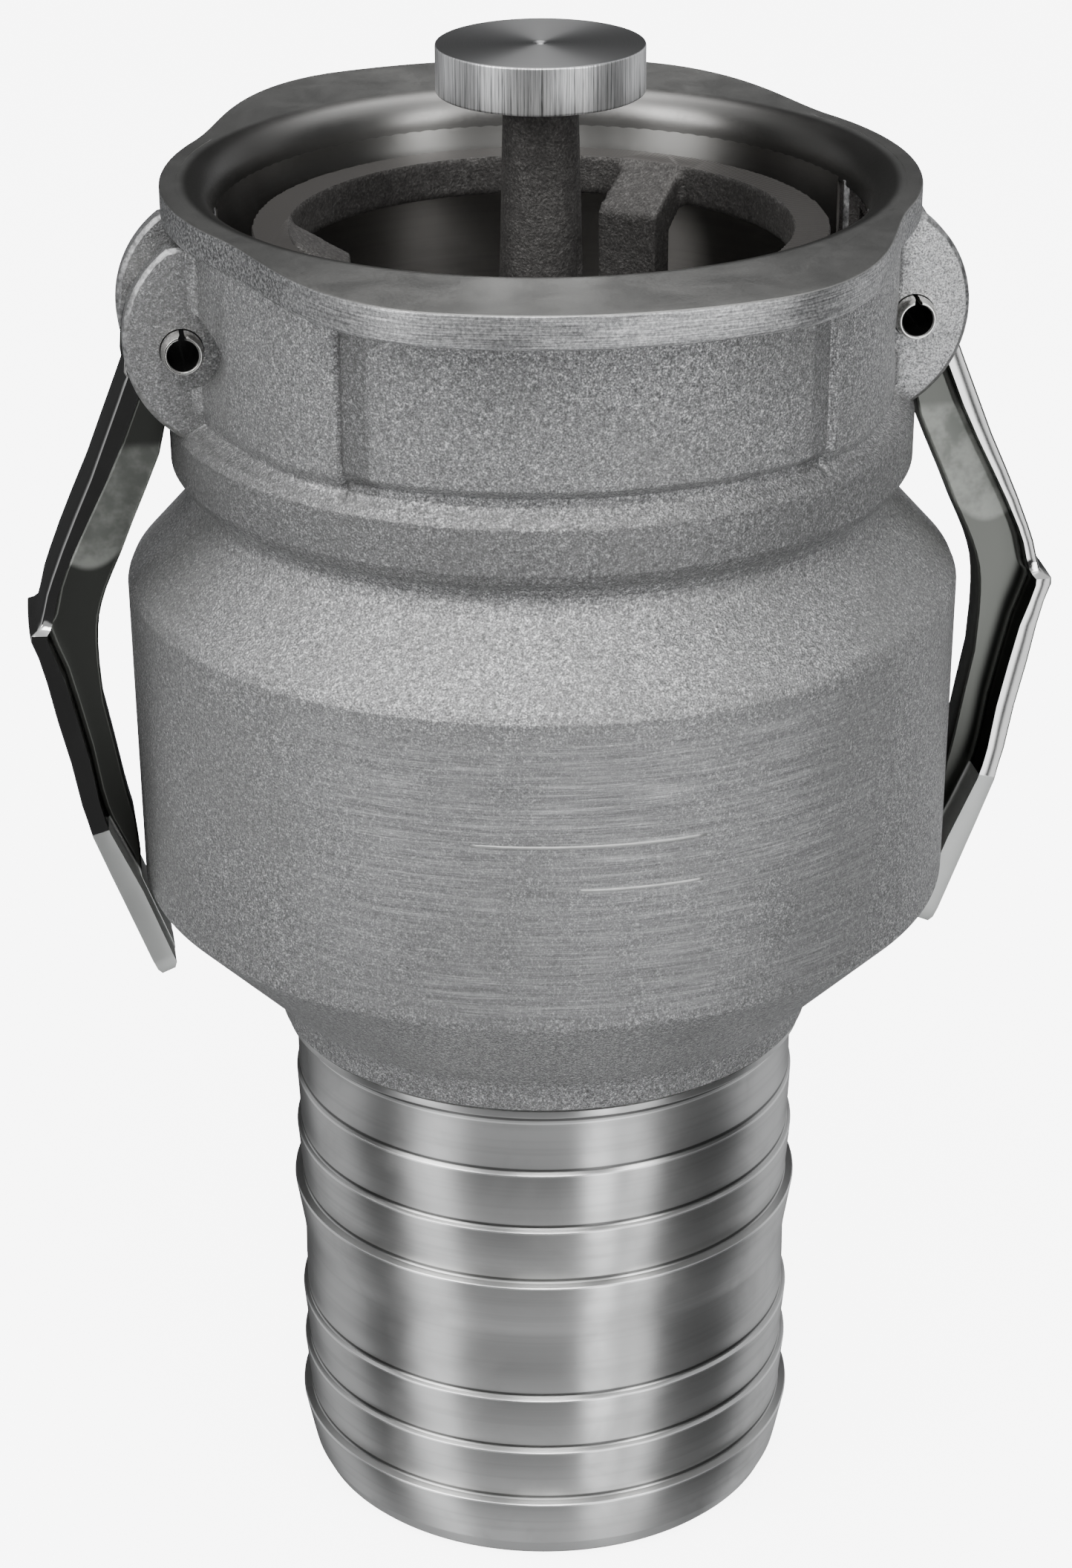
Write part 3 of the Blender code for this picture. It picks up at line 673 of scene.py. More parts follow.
def milled_rim():
    """Rim flange: turned top and flared mouth, and a linished band round the side; the mouth has painted
    shade at its front and sides and a painted highlight at its back.
    """
    n = Nodes("milled_rim")
    x, y, _ = n.axes()
    up = n.world_up()
    radius = n.length(x, y)
    side = n.times(n.between(radius, 0.0694, 0.07), n.below(up, 0.4, 0.8))
    feed_line = n.noise(1.0, detail=2.0, vector=n.stretch_value(radius, 0.22))
    grains = n.noise(0.5, rough=0.62)
    scratch = n.noise(1.0, detail=4.0, rough=0.72, vector=n.wrapped(78.0, 9.0, 0.30))
    rough_side = n.below(n.absolute(y), 0.05, 0.074)
    linished = n.plus(n.times(scratch, 3.2), n.times(grains, 6.0))
    side_height = n.blend(rough_side, linished, n.times(grains, 17.0))
    height = n.blend(side, n.times(feed_line, 0.8), side_height)
    normal = n.bump(height, 0.009)
    smudge = n.between(n.noise(11.0, detail=6.0, rough=0.7, distortion=0.5), 0.25, 0.75)
    smudge = n.plus(n.times(smudge, 0.6), n.times(n.between(grains, 0.35, 0.65), 0.4))
    top = n.mix(smudge, (0.25, 0.248, 0.24), (0.335, 0.332, 0.32))
    mixed = n.plus(n.times(scratch, 0.6), n.times(grains, 0.4))
    band = n.mix(rough_side, n.ramp(mixed, (0.38, 0.18), (0.5, 0.4), (0.62, 0.82)),
                 n.ramp(grains, (0.36, 0.1), (0.5, 0.24), (0.64, 0.55)))
    # Painted shade on the front and sides of the mouth, painted highlight at its back.
    flare = n.below(radius, 0.065, 0.0668)
    rear = n.between(n.math("DIVIDE", y, radius), 0.55, 0.92)
    top = n.mix(flare, top, n.mix(rear, (0.08, 0.078, 0.074), (0.24, 0.236, 0.227)))
    colour = n.mix(side, top, band)
    rough = n.blend(side, n.blend(smudge, 0.30, 0.40), 0.46)
    return n.done(colour, rough, normal, metallic=0.95, Anisotropic=0.5, Anisotropic_Rotation=0.25,
                  Tangent=n.turned_tangent())


def probe_metal():
    """Sawn and turned bar: rings on the top face, mill streaks down the side."""
    n = Nodes("probe_metal")
    x, y, _ = n.axes()
    up = n.world_up()
    top = n.between(up, 0.6, 0.9)
    radius = n.length(x, y)
    rings = n.noise(1.0, detail=2.0, rough=0.6, vector=n.stretch_value(radius, 0.16))
    streaks = n.noise(1.0, detail=4.0, rough=0.75, vector=n.wrapped(19.2, 0.45, 30.0))
    height = n.blend(top, n.times(streaks, 5.0), rings)
    normal = n.bump(height, 0.008)
    side_colour = n.ramp(streaks, (0.36, 0.10), (0.44, 0.50), (0.60, 0.97))
    top_colour = n.ramp(rings, (0.25, 0.24), (0.75, 0.37))
    colour = n.mix(top, side_colour, top_colour)
    rough = n.blend(top, n.blend(streaks, 0.42, 0.26), 0.34)
    return n.done(colour, rough, normal, metallic=0.95, Anisotropic=n.times(top, 0.8),
                  Anisotropic_Rotation=0.25, Tangent=n.turned_tangent())


def rubber():
    n = Nodes("nitrile_rubber")
    fine = n.noise(0.25, detail=2.0)
    haze = n.noise(6.0, detail=4.0)
    colour = n.mix(haze, (0.012, 0.012, 0.012), (0.04, 0.04, 0.038))
    return n.done(colour, n.blend(haze, 0.45, 0.62), n.bump(fine, 0.01), metallic=0.0)


def plain_metal(name, colour, rough, wear=0.25, dark_bore=False):
    """Small steel and bronze pieces: mottled plating with fine scratches, and for the pins a bore in painted
    shade.
    """
    n = Nodes(name)
    mottle = n.noise(3.0, detail=5.0, rough=0.6)
    scratch = n.noise(1.0, rough=0.7, vector=n.stretch(2.5, 0.4, 0.2))
    dark = tuple(c * (1 - wear) for c in colour)
    tone = n.mix(mottle, colour, dark)
    shine = 1.0
    # Painted shade: the pins' bores near black and not metallic.
    if dark_bore:
        x, _, z = n.axes()
        from_pin = n.length(n.minus(n.absolute(x), PIN_X * MM), n.minus(z, PIN_Z * MM))
        bore = n.below(from_pin, 0.00292, 0.00302)
        tone = n.mix(bore, tone, (0.004, 0.004, 0.004))
        shine = n.flip(bore)
    return n.done(tone, n.blend(mottle, rough, rough + 0.15), n.bump(scratch, 0.004), metallic=shine)


# ---- body

def ease(start, end, share):
    """Start at a share of 0 or less, end at 1 or more, smooth between."""
    t = min(max(share, 0.0), 1.0)
    return start + (end - start) * t * t * (3 - 2 * t)


def from_x_axis(angle):
    """Degrees between an angle and the nearer end of the X axis."""
    return math.degrees(math.asin(min(1.0, abs(math.sin(math.radians(angle))))))


def rim_radius(angle):
    """Rim radius at an angle from the X axis, swelling from the arms to the front and back lips."""
    return ease(RIM_SIDE_R, RIM_LIP_R, (from_x_axis(angle) - 28.0) / 42.0)


# Outline of a raised pad and of the groove and bead beside it: (degrees from the Y axis, radius)
PAD_EDGE = ((0.0, PAD_R), (31.8, PAD_R), (32.4, PAD_R - 0.04), (32.9, PAD_R - 0.2), (34.0, PAD_R - 0.62),
            (37.6, 70.15), (38.2, 69.85), (38.6, 69.3), (38.9, 69.1), (39.2, 69.3), (39.5, 70.1),
            (39.8, CHEEK_R + 0.15), (40.3, CHEEK_R + 0.1), (40.8, CHEEK_R))


def cheek_radius(angle):
    """Radius of the head at an angle from the X axis: oval cheeks, and a raised pad at front and back."""
    folded = from_x_axis(angle)
    from_pad = 90.0 - folded
    if from_pad <= PAD_EDGE[-1][0]:
        return float(np.interp(from_pad, *zip(*PAD_EDGE)))
    radius = ease(CHEEK_SIDE_R, CHEEK_R, (folded - 12.0) / 38.0)
    past_ear = min(max(radius * math.sin(math.radians(folded)) - EAR_OUT, 0.0), EAR_FILLET)
    return radius + EAR_FILLET - math.sqrt(EAR_FILLET ** 2 - (EAR_FILLET - past_ear) ** 2)


def head_section(angle):
    """Closed section of the head at one angle, from under the rim to the groove and back up the bore."""
    edge = cheek_radius(angle)
    on_pad = min(max((from_x_axis(angle) - 50.4) / 1.4, 0.0), 1.0)
    low = CHEEK_Z + (PAD_Z - CHEEK_Z) * on_pad
    under = min(UNDERCUT_R, max(edge - 1.6, CHEEK_SIDE_R - 0.4))
    outside = rounded([(edge, RIM_LOW + 1.0), (edge, low, 1.1), (under, low - 2.4, 0.7),
                       (under, 237.3, 0.5), (69.8, 235.5, 0.7), (BELT_R, 234.0, 0.9), (BELT_R, 225.6, 0.8),
                       (69.4, 223.4, 0.6), (67.4, 221.8, 0.6), (GROOVE_R, GROOVE_Z, 0.5),
                       (GROOVE_R - 0.3, GROOVE_Z - 3.0)])
    inside = [(55.4, GROOVE_Z - 3.0), (55.4, 223.0), (63.4, 223.0), (63.4, 231.0), (BORE_R + 0.5, 231.0),
              (BORE_R + 0.5, RIM_LOW + 1.0)]
    return outside + inside


def head_casting():
    """Cheeks, pads and belt, with the arm slots, the bore windows and the spot faces cut through."""
    quarter = [2.0 * k for k in range(45)] + [11.9 + 0.25 * k for k in range(9)]
    quarter += [90.0 - from_pad for from_pad, _ in PAD_EDGE]
    quarters = ((0, 1), (180, -1), (180, 1), (360, -1))
    angles = {(base + sign * a) % 360 for a in quarter for base, sign in quarters}
    angles = sorted(angles | {90.0, 270.0})
    core = loft("head", [around(head_section(angle), angle) for angle in angles])
    for side in SIDES:
        for far, half_wide, bottom in ((95.0, EAR_IN, SLOT_LOW), (62.5, WINDOW_HALF, WINDOW_LOW)):
            ends = sorted((side * DEEP_IN, side * far))
            cut(core, block("slot", (ends[0], -half_wide, bottom), (ends[1], half_wide, RIM_LOW + 2.0)))
        for end in SIDES:
            cut(core, rod("spot", 7.2, 7.0, (side * PIN_X, end * (EAR_OUT + 6.9), PIN_Z), "Y"))
            cut(core, rod("pin_hole", PIN_HOLE_R, 3.5, (side * PIN_X, end * 12.0, PIN_Z), "Y"))
    finish_body(core, "body_head", CAST, sharp=40)


def ears():
    """Four ear plates, each with a crisp bright chamfer round its free edge."""
    outline = [(59.5, 234.0)] + arc((58.0, 252.7), 21.0, -62.0, 54.5, 44) + [(59.5, RIM_LOW + 0.2)]
    places = [(side, end) for side in SIDES for end in SIDES]
    for number, (side, end) in enumerate(places, 1):
        name = f"body_ear_{number}"
        middle = end * (EAR_IN + EAR_OUT) / 2
        stand = Matrix.Translation((0, middle * MM, 0)) @ UPRIGHT
        ear = prism(name, [(side * x, z) for x, z in outline], (EAR_OUT - EAR_IN) / 2, stand)
        ear.data.materials.append(CAST)
        ear.data.materials.append(CHAMFER)
        bevelled(ear, 0.8, 1, 50, paint=1)
        bevelled(ear, 0.12, 2, 25, paint=1)
        cut(ear, rod("pin_hole", PIN_HOLE_R, 4.0, (side * PIN_X, middle, PIN_Z), "Y"))
        finish_body(ear, name, None, sharp=30)


def bulge_casting():
    """Upper cone, bulge, lower cone and collar, turned with the casting's fillets."""
    outside = rounded([(GROOVE_R, GROOVE_Z + 0.6), (GROOVE_R, 219.0, 3.0), (67.6, 216.2, 5.0),
                       (79.5, 203.4, 1.2), (BULGE_R, 201.6, 1.6), (BULGE_R, 140.8, 2.0),
                       (62.2, 122.6, 8.0), (54.9, 115.6, 9.0), (54.2, COLLAR_Z + 2.3, 0.6),
                       (53.0, COLLAR_Z + 1.6)], 7)
    inside = rounded([(52.0, COLLAR_Z + 1.6), (52.0, 112.0), (49.5, 112.0), (49.5, 117.8), (51.0, 117.8),
                      (51.0, 119.5), (49.5, 119.5), (49.5, 121.5, 4.0), (74.0, 146.0, 6.0),
                      (74.0, 197.5, 6.0), (66.0, 205.5, 3.0), (53.0, 205.5), (51.5, 207.0), (51.5, 213.0),
                      (54.6, 213.0), (54.6, GROOVE_Z + 0.6)], 5)
    body = lathe("body_bulge", outside + inside, closed=True)
    finish_body(body, "body_bulge", CAST, sharp=50)


# Raised lines on the front of the bulge: height, and where each starts and ends across it
CASTING_LINES = ((178.1, -24.5, 18.5), (169.4, -5.0, 18.0))
LINE_SECTION = ((-0.45, -0.3), (-0.25, 0.18), (0.0, 0.28), (0.25, 0.18), (0.45, -0.3))


def casting_lines():
    """Two thin raised lines on the front of the bulge, fading at their ends."""
    for number, (height, start, end) in enumerate(CASTING_LINES, 1):
        sections = []
        for k in range(25):
            share = k / 24
            x = start + (end - start) * share
            y = -math.sqrt(BULGE_R ** 2 - x * x)
            grow = min(1.0, 8 * min(share, 1 - share))
            section = []
            for offset, lift in LINE_SECTION:
                out = 1 + lift * (grow if lift > 0 else 1.0) / BULGE_R
                section.append((x * out, y * out, height + offset))
            sections.append(section)
        name = f"casting_line_{number}"
        finish_body(loft(name, sections, closed_ends=True), name, RAISED_LINE, sharp=0, nodes=())


def rim_flange():
    """Machined rim: flat top, bell mouth, and a side band that follows the oval outline."""
    inner = rounded([(BORE_R + 2.0, 270.0), (BORE_R, 270.0, 0.3), (BORE_R, RIM_TOP - FLARE - 1.6)], 3)
    inner += arc((BORE_R + FLARE, RIM_TOP - FLARE), FLARE, 180, 81, 11)
    columns = 360
    sections = []
    for k in range(columns):
        angle = 360 * k / columns
        edge = rim_radius(angle)
        outer = rounded([(edge - 3.0, RIM_TOP), (edge, RIM_TOP, 0.5), (edge, RIM_LOW, 1.3),
                         (edge - 2.6, RIM_LOW - 0.3)])
        sections.append(around(inner + outer + [(BORE_R + 2.0, RIM_LOW - 0.3)], angle))
    finish_body(loft("body_rim", sections), "body_rim", RIM_METAL, sharp=40)


def bore_liner():
    """Machined wall of the bore, pierced by the two cam windows, with the gasket groove at its foot."""
    profile = rounded([(62.6, 270.8), (BORE_R + 0.05, 270.8), (BORE_R, 270.3), (BORE_R, 230.6, 0.4),
                       (63.0, 230.6), (63.0, 223.4), (54.6, 223.4), (54.6, 221.1), (56.6, 221.1),
                       (56.6, 219.2), (54.6, 219.2), (54.6, 217.5), (57.6, 217.5), (64.5, 222.0),
                       (64.5, 232.2), (62.6, 232.2)], 3)
    liner = lathe("body_bore", profile, steps=120, closed=True)
    for side in SIDES:
        ends = sorted((side * DEEP_IN, side * 70.0))
        window = block("window", (ends[0], -WINDOW_HALF, WINDOW_LOW), (ends[1], WINDOW_HALF, RIM_LOW + 0.2))
        cut(liner, bevelled(window, 1.5, 4))
    finish_body(liner, "body_bore", BORE_METAL)


def hose_shank():
    """Machined shank: sharp barbs towards the mouth, and a rounded nose at the hose end."""
    outside = rounded([(52.9, COLLAR_Z + 1.6), (53.3, COLLAR_Z + 1.4), (53.3, COLLAR_Z, 0.3),
                       (51.7, COLLAR_Z - 0.9, 0.5), (51.2, COLLAR_Z - 2.6)], 3)
    for index, (z, radius) in enumerate(BARBS):
        next_z = BARBS[index + 1][0] if index + 1 < len(BARBS) else 6.0
        outside += [(SHANK_ROOT_R + 0.1, z + 1.3), (SHANK_ROOT_R, z + 0.7), (SHANK_ROOT_R + 0.25, z + 0.32),
                    (radius - 0.22, z + 0.10), (radius - 0.05, z - 0.06), (radius, z - 0.4)]
        if z - next_z > 20:
            outside += [(SHANK_ROOT_R + 0.35, z - 10.5), (SHANK_ROOT_R + 0.05, z - 13.5),
                        (SHANK_ROOT_R + 0.15, z - 20.0)]
    outside += rounded([(51.5, 7.0), (50.9, 4.2, 2.0), (49.5, 1.2, 1.6), (48.3, 0.0, 0.6),
                        (SHANK_BORE_R + 0.4, 0.0), (SHANK_BORE_R, 0.5, 0.2), (SHANK_BORE_R, 4.0)])
    shank = lathe("body_shank", outside + [(SHANK_BORE_R, 112.0), (52.0, 112.0), (52.0, COLLAR_Z + 1.6)],
                  closed=True)
    finish_body(shank, "body_shank", SHANK_METAL)


# ---- arms and pins

# Stations down the right arm: outer edge, inner edge (both in the XZ plane), half width and flange thickness
ARM_STATIONS = (
    ((78.2, 250.6), (69.0, 246.0), 8.3, 3.4), ((78.4, 245.6), (70.3, 241.0), 8.4, 3.4),
    ((80.3, 240.9), (71.0, 236.6), 8.5, 3.4), ((83.6, 233.0), (73.0, 228.6), 8.5, 3.4),
    ((86.5, 226.0), (75.7, 222.4), 8.5, 3.0), ((89.8, 219.0), (78.8, 215.6), 8.5, 2.7),
    ((92.6, 212.8), (81.2, 210.0), 8.5, 2.4), ((95.0, 207.0), (83.4, 205.4), 8.5, 2.2),
    ((96.2, 203.8), (84.6, 202.7), 8.5, 2.2), ((97.1, 200.4), (85.5, 200.2), 8.5, 2.3),
    ((97.75, 198.2), (86.0, 198.4), 8.7, 2.4), ((98.7, 197.2), (86.3, 197.2), 9.6, 2.8),
    ((99.85, 196.6), (86.4, 196.2), 10.4, 3.3), ((99.9, 195.4), (86.6, 195.0), 10.5, 3.4),
    ((98.7, 192.0), (86.8, 191.8), 10.5, 3.2), ((97.5, 187.0), (86.8, 187.4), 10.5, 3.7),
    ((96.0, 179.0), (86.4, 179.8), 10.5, 4.0), ((94.0, 170.0), (84.8, 170.8), 10.5, 3.9),
    ((92.5, 161.0), (83.3, 161.8), 10.5, 3.7), ((91.6, 157.4), (82.6, 158.2), 10.5, 3.6),
    ((90.7, 154.4), (82.0, 155.6), 10.5, 3.6), ((87.5, 145.5), (81.3, 148.0), 10.5, 4.1),
    ((85.6, 140.4), (81.4, 142.2), 10.5, 4.4), ((84.0, 136.0), (79.7, 137.7), 10.5, 4.4),
    ((80.5, 126.5), (76.2, 128.2), 10.5, 4.3), ((79.6, 124.4), (75.6, 126.0), 10.3, 4.2),
    ((78.8, 123.3), (75.9, 124.5), 9.6, 3.0),
)
WEB_HALF = 3.6


def arm_section(depth, wide, thickness, ground):
    """Half section of the arm from its outer centre line to its inner one: (distance inward, half width)."""
    flange = min(thickness, depth * 0.97)
    crown = 0.0 if ground else 0.25
    corner = 0.25 if ground else 0.4
    section = [(0.0, 0.0), (crown * 0.25, wide * 0.5), (crown * 0.8, wide - corner * 1.3),
               (crown + corner * 0.3, wide - corner * 0.3), (crown + corner, wide), (flange, wide)]
    web = max(depth - flange, 0.0)
    fillet = min(1.1, web * 0.5)
    edge = min(0.4, web * 0.2)
    support = 0.03 * (web - fillet - edge)
    section += [(flange + 0.02 * web, WEB_HALF + fillet + 0.6),
                (flange + 0.12 * fillet, WEB_HALF + fillet * 0.6),
                (flange + 0.45 * fillet, WEB_HALF + fillet * 0.18), (flange + fillet, WEB_HALF),
                (flange + fillet + support, WEB_HALF), (depth - edge - support, WEB_HALF),
                (depth - edge, WEB_HALF), (depth - 0.3 * edge, WEB_HALF - 0.15),
                (depth, WEB_HALF - 0.5), (depth, 0.0)]
    return section


def cam_arm(name, side, body):
    sections = []
    for outer, inner, wide, thickness in ARM_STATIONS:
        outer, inner = Vector(outer), Vector(inner)
        depth = (inner - outer).length
        along = (inner - outer).normalized()
        half = arm_section(depth, wide, thickness, outer.y < 157.0)
        loop = half + [(d, -y) for d, y in half[-2:0:-1]]
        points = [(outer + along * d, y) for d, y in loop]
        sections.append([(side * point.x, y, point.y) for point, y in points])
    arm = loft(name, sections, closed_ends=True)
    head = arc((PIN_X, PIN_Z), 10.2, -5.0, 115.0, 20)
    head += arc((PIN_X - 5.0, PIN_Z - 1.2), 7.4, 120.0, 255.0, 20)
    head += [(67.0, 241.8), (71.5, 238.4), (76.0, 240.0), (78.9, 246.0)]
    boss = prism("boss", [(side * x, z) for x, z in head], 8.4, UPRIGHT)
    bevelled(boss, 0.7, 3, 40)
    join(arm, boss)
    cut(arm, rod("pivot", PIN_HOLE_R + 0.05, 12.0, (side * PIN_X, 0, PIN_Z), "Y"))
    finish_piece(arm, name, STAINLESS, body, [name], sharp=38)


def roll_pin(name, side):
    """Rolled spring pin: hollow, bevelled, and split along its top."""
    half = 17.3
    wall = rounded([(2.9, -half + 0.3), (3.1, -half, 0.1), (3.45, -half, 0.15), (3.95, -half + 1.5, 0.3),
                    (3.95, half - 1.5, 0.3), (3.45, half, 0.15), (3.1, half, 0.1), (2.9, half - 0.3)], 3)
    pin = lathe(name, wall, SMALL_STEPS, closed=True)
    slit = prism("slit", [(-0.45, 0), (0.45, 0), (0.45, half - 0.8), (1.1, half + 1), (-1.1, half + 1),
                          (-0.45, half - 0.8)], 3.0)
    slit.data.transform(Matrix.Translation((0, 4.0 * MM, 0)) @ UPRIGHT)
    far = slit.copy()
    far.data = slit.data.copy()
    bpy.context.scene.collection.objects.link(far)
    far.data.transform(Matrix.Rotation(math.pi, 4, "Y"))
    cut(pin, slit, far)
    pin.data.transform(Matrix.Translation((side * PIN_X * MM, 0, PIN_Z * MM)) @ UPRIGHT)
    finish_piece(pin, name, PIN_METAL, "coupling_body", [name])


# ---- poppet

def cage_casting():
    """Ring, three bent legs and tapered stem as one rough casting."""
    ring = lathe("cage", [(46.9, RING_TOP + 0.2), (53.6, RING_TOP + 0.2), (53.6, 261.0), (52.8, 260.5),
                          (46.9, 260.5)], steps=120, closed=True)
    leg = [(50.0, 266.4), (47.2, 267.6), (35.5, 261.0), (35.5, 217.4), (4.0, 217.4), (4.0, 211.7),
           (42.0, 211.7), (42.0, 256.5), (49.0, 261.6), (50.0, 262.4)]
    stem = lathe("stem", [(0, 291.7), (6.9, 291.7), (7.7, 263.0), (8.9, 221.0), (13.0, 218.0), (13.0, 211.3),
                          (0, 211.3)], steps=64)
    for angle in LEG_ANGLES:
        join(stem, spin(prism("leg", leg, 6.3, UPRIGHT), angle))
    join(ring, stem)
    cut(ring, block("notch", (5.9, -8.0, 240.0), (12.0, -1.5, 265.5)))
    soften(ring, 0.7, 4)
    facing = block("facing", (-60, -60, RING_TOP), (60, 60, RING_TOP + 2))
    keep = rod("keep", 30.0, 4.0, (0, 0, RING_TOP))
    cut(facing, keep)
    cut(ring, facing)
    finish_piece(ring, "poppet_cage", DARK_CAST, "poppet", ["poppet_cage"], sharp=50)


def turned_piece(name, corners, material, body, segments=3, closed=True):
    piece = lathe(name, rounded(corners, segments), closed=closed)
    finish_piece(piece, name, material, body, [name])


def probe_head():
    radius, low, high = cad_size("probe_head")
    corners = [(0, high - 1.1), (0.7, high - 0.35, 0.2), (1.5, high - 0.02, 0.3), (radius, high, 0.45),
               (radius, 292.0, 0.45), (3.0, 292.0), (3.0, low), (0, low)]
    turned_piece("probe_head", corners, PROBE_METAL, "poppet", 4, closed=False)


def valve_parts():
    """Disc, seal and clamp plate, seen down the mouth and up the shank."""
    gasket = [(54.8, 230.0, 0.8), (62.7, 230.0, 1.2), (62.7, 223.7, 1.2), (54.8, 223.7, 0.8), (54.8, 226.8)]
    turned_piece("mouth_gasket", gasket, RUBBER, "coupling_body", 4)
    seat = [(45.0, 217.0), (45.0, 219.1, 0.5), (54.3, 219.1, 0.3), (54.3, 217.6), (52.6, 217.6),
            (52.6, 214.8), (54.3, 214.8), (54.3, 213.3, 0.3), (51.2, 213.3), (51.2, 208.0, 0.4),
            (48.2, 208.0, 0.3), (45.0, 210.4, 0.4)]
    turned_piece("seat_ring", seat, SHANK_METAL, "coupling_body")
    seal = [(39.8, 205.0), (39.8, 207.7, 0.3), (50.2, 207.7, 0.6), (50.2, 203.8, 0.6), (39.8, 203.8, 0.3)]
    turned_piece("valve_seal", seal, RUBBER, "poppet")
    disc = [(6.3, 205.0), (6.3, 207.7, 0.3), (39.5, 207.7, 0.3), (39.5, 203.5), (50.5, 203.5, 0.3),
            (50.5, 200.9, 0.4), (49.7, 200.0, 0.3), (6.3, 200.0, 0.3)]
    plate = [(6.3, 209.5), (6.3, 211.0, 0.3), (43.5, 211.0, 0.5), (43.5, 208.0, 0.3), (6.3, 208.0, 0.2)]
    for name, corners in (("valve_disc", disc), ("seal_clamp_plate", plate)):
        piece = lathe(name, rounded(corners, 3), closed=True)
        for angle in SCREW_ANGLES:
            cut(piece, spin(rod("hole", 2.8, 8.0, (SCREW_CIRCLE, 0, 207.0), steps=32), angle))
        finish_piece(piece, name, SHANK_METAL, "poppet", [name])


def clamp_screws():
    base = 211.3              # underside of the screw heads
    for number, angle in enumerate(SCREW_ANGLES, 1):
        name = f"clamp_screw_{number}"
        screw = lathe(name, rounded([(0, base + 5), (4.5, base + 5, 0.5), (4.5, base, 0.2), (2.5, base),
                                     (2.5, 201.5, 0.3), (2.0, 201.0), (0, 201.0)], 3), 48)
        cut(screw, rod("socket", 2.3, 2.6, (0, 0, base + 5.2), steps=6))
        screw.data.transform(Matrix.Translation((SCREW_CIRCLE * MM, 0, 0)))
        finish_piece(spin(screw, angle), name, ZINC, "poppet", [name])


def guide_rod():
    """Ground rod with the thread for its nut cut under the disc."""
    corners = [(0, 228.0), (6.0, 228.0, 0.7), (6.0, 200.0)]
    z = 199.4
    while z > 189.0:
        corners += [(5.95, z), (5.3, z - 0.75)]
        z -= 1.5
    corners += [(6.0, 187.5, 0.3), (6.0, 104.0, 0.8), (0, 104.0)]
    piece = lathe("guide_rod", rounded(corners, 3), SMALL_STEPS)
    finish_piece(piece, "guide_rod", GROUND_ROD, "poppet", ["guide_rod"])


def valve_spring():
    """Compression spring with closed and ground ends."""
    wire, mean = 1.8, 20.0
    low, high = (corner.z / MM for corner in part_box("valve_spring"))
    turns, steps, sides = 6.5, 48, 14
    closed = 2 * wire + 0.3
    pitch = (high - low - 2 * wire - 2 * closed) / (turns - 2)
    sections = []
    for k in range(int(turns * steps) + 1):
        turn = k / steps
        ends = min(turn, 1.0) + max(turn - (turns - 1), 0.0)
        height = low + wire + closed * ends + pitch * min(max(turn - 1, 0.0), turns - 2)
        circle = arc((mean, height), wire, 0, 360, sides)[:sides]
        sections.append(around(circle, 360 * turn))
    spring = loft("valve_spring", sections, closed_ends=True)
    finish_piece(spring, "valve_spring", SPRING_METAL, "coupling_body", ["valve_spring"])
    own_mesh(spring)


def guide_spider():
    ring = lathe("spider", [(44.0, 117.5), (48.8, 117.5), (49.2, 117.1), (49.2, 112.7), (48.8, 112.3),
                            (44.0, 112.3)], steps=120, closed=True)
    hub = rod("hub", 12.5, 8.0, (0, 0, 116.0))
    for angle in LEG_ANGLES:
        join(hub, spin(block("spoke", (9.5, -3.6, 109.6), (45.4, 3.6, 117.1)), angle))
    join(ring, hub)
    cut(ring, rod("bush_hole", 9.1, 20.0, (0, 0, 120.0)))
    soften(ring, 0.7, 3)
    finish_piece(ring, "guide_spider", DARK_CAST, "coupling_body", ["guide_spider"], sharp=0)


def carried_over():
    """CAD nodes whose shape is right keep it, with their edges softened and their own finish."""
    finishes = {"seat_o_ring": RUBBER, "guide_bush": BRONZE,
                "seat_retaining_ring": SPRING_METAL, "spider_retaining_ring": SPRING_METAL,
                "rod_washer": ZINC, "rod_nut": ZINC, "spring_seat": ZINC}
    for node, material in finishes.items():
        piece = frame["nodes"][node]
        piece.data.materials.clear()
        piece.data.materials.append(material)
        if node != "seat_o_ring":
            bevel = piece.modifiers.new("edges", "BEVEL")
            bevel.width = 0.15 * MM
            bevel.segments = 2
            bevel.limit_method = "ANGLE"
            bevel.angle_limit = math.radians(50)


# ---- stage

def light(name, location, target, size, power, size_y=None):
    data = bpy.data.lights.new(name, "AREA")
    data.shape = "RECTANGLE"
    data.size = size
    data.size_y = size_y or size
    data.energy = power
    lamp = bpy.data.objects.new(name, data)
    bpy.context.scene.collection.objects.link(lamp)
    lamp.location = location
    lamp.rotation_euler = (Vector(target) - Vector(location)).to_track_quat("-Z", "Y").to_euler()


# Bright areas of the studio as metal reflects them: azimuth from the front and half width, lowest and
# highest elevation (all in degrees), and strength
STUDIO_ZONES = (
    (-62.0, 10.0, -65.0, 60.0, 1.5),       # tall soft box, left
    (36.0, 5.5, -65.0, 60.0, 1.7),         # tall soft box, right
    (-12.0, 40.0, -70.0, -40.0, 0.55),     # light table in front
    (17.5, 6.5, -42.0, -8.0, 3.6),         # white card low on the right
    (-10.0, 50.0, 20.0, 75.0, 0.55),       # ceiling bounce in front
    (122.0, 24.0, -50.0, 55.0, 0.62),      # wide soft box behind, right
    (-124.0, 19.0, -50.0, 55.0, 0.52),     # wide soft box behind, left
)


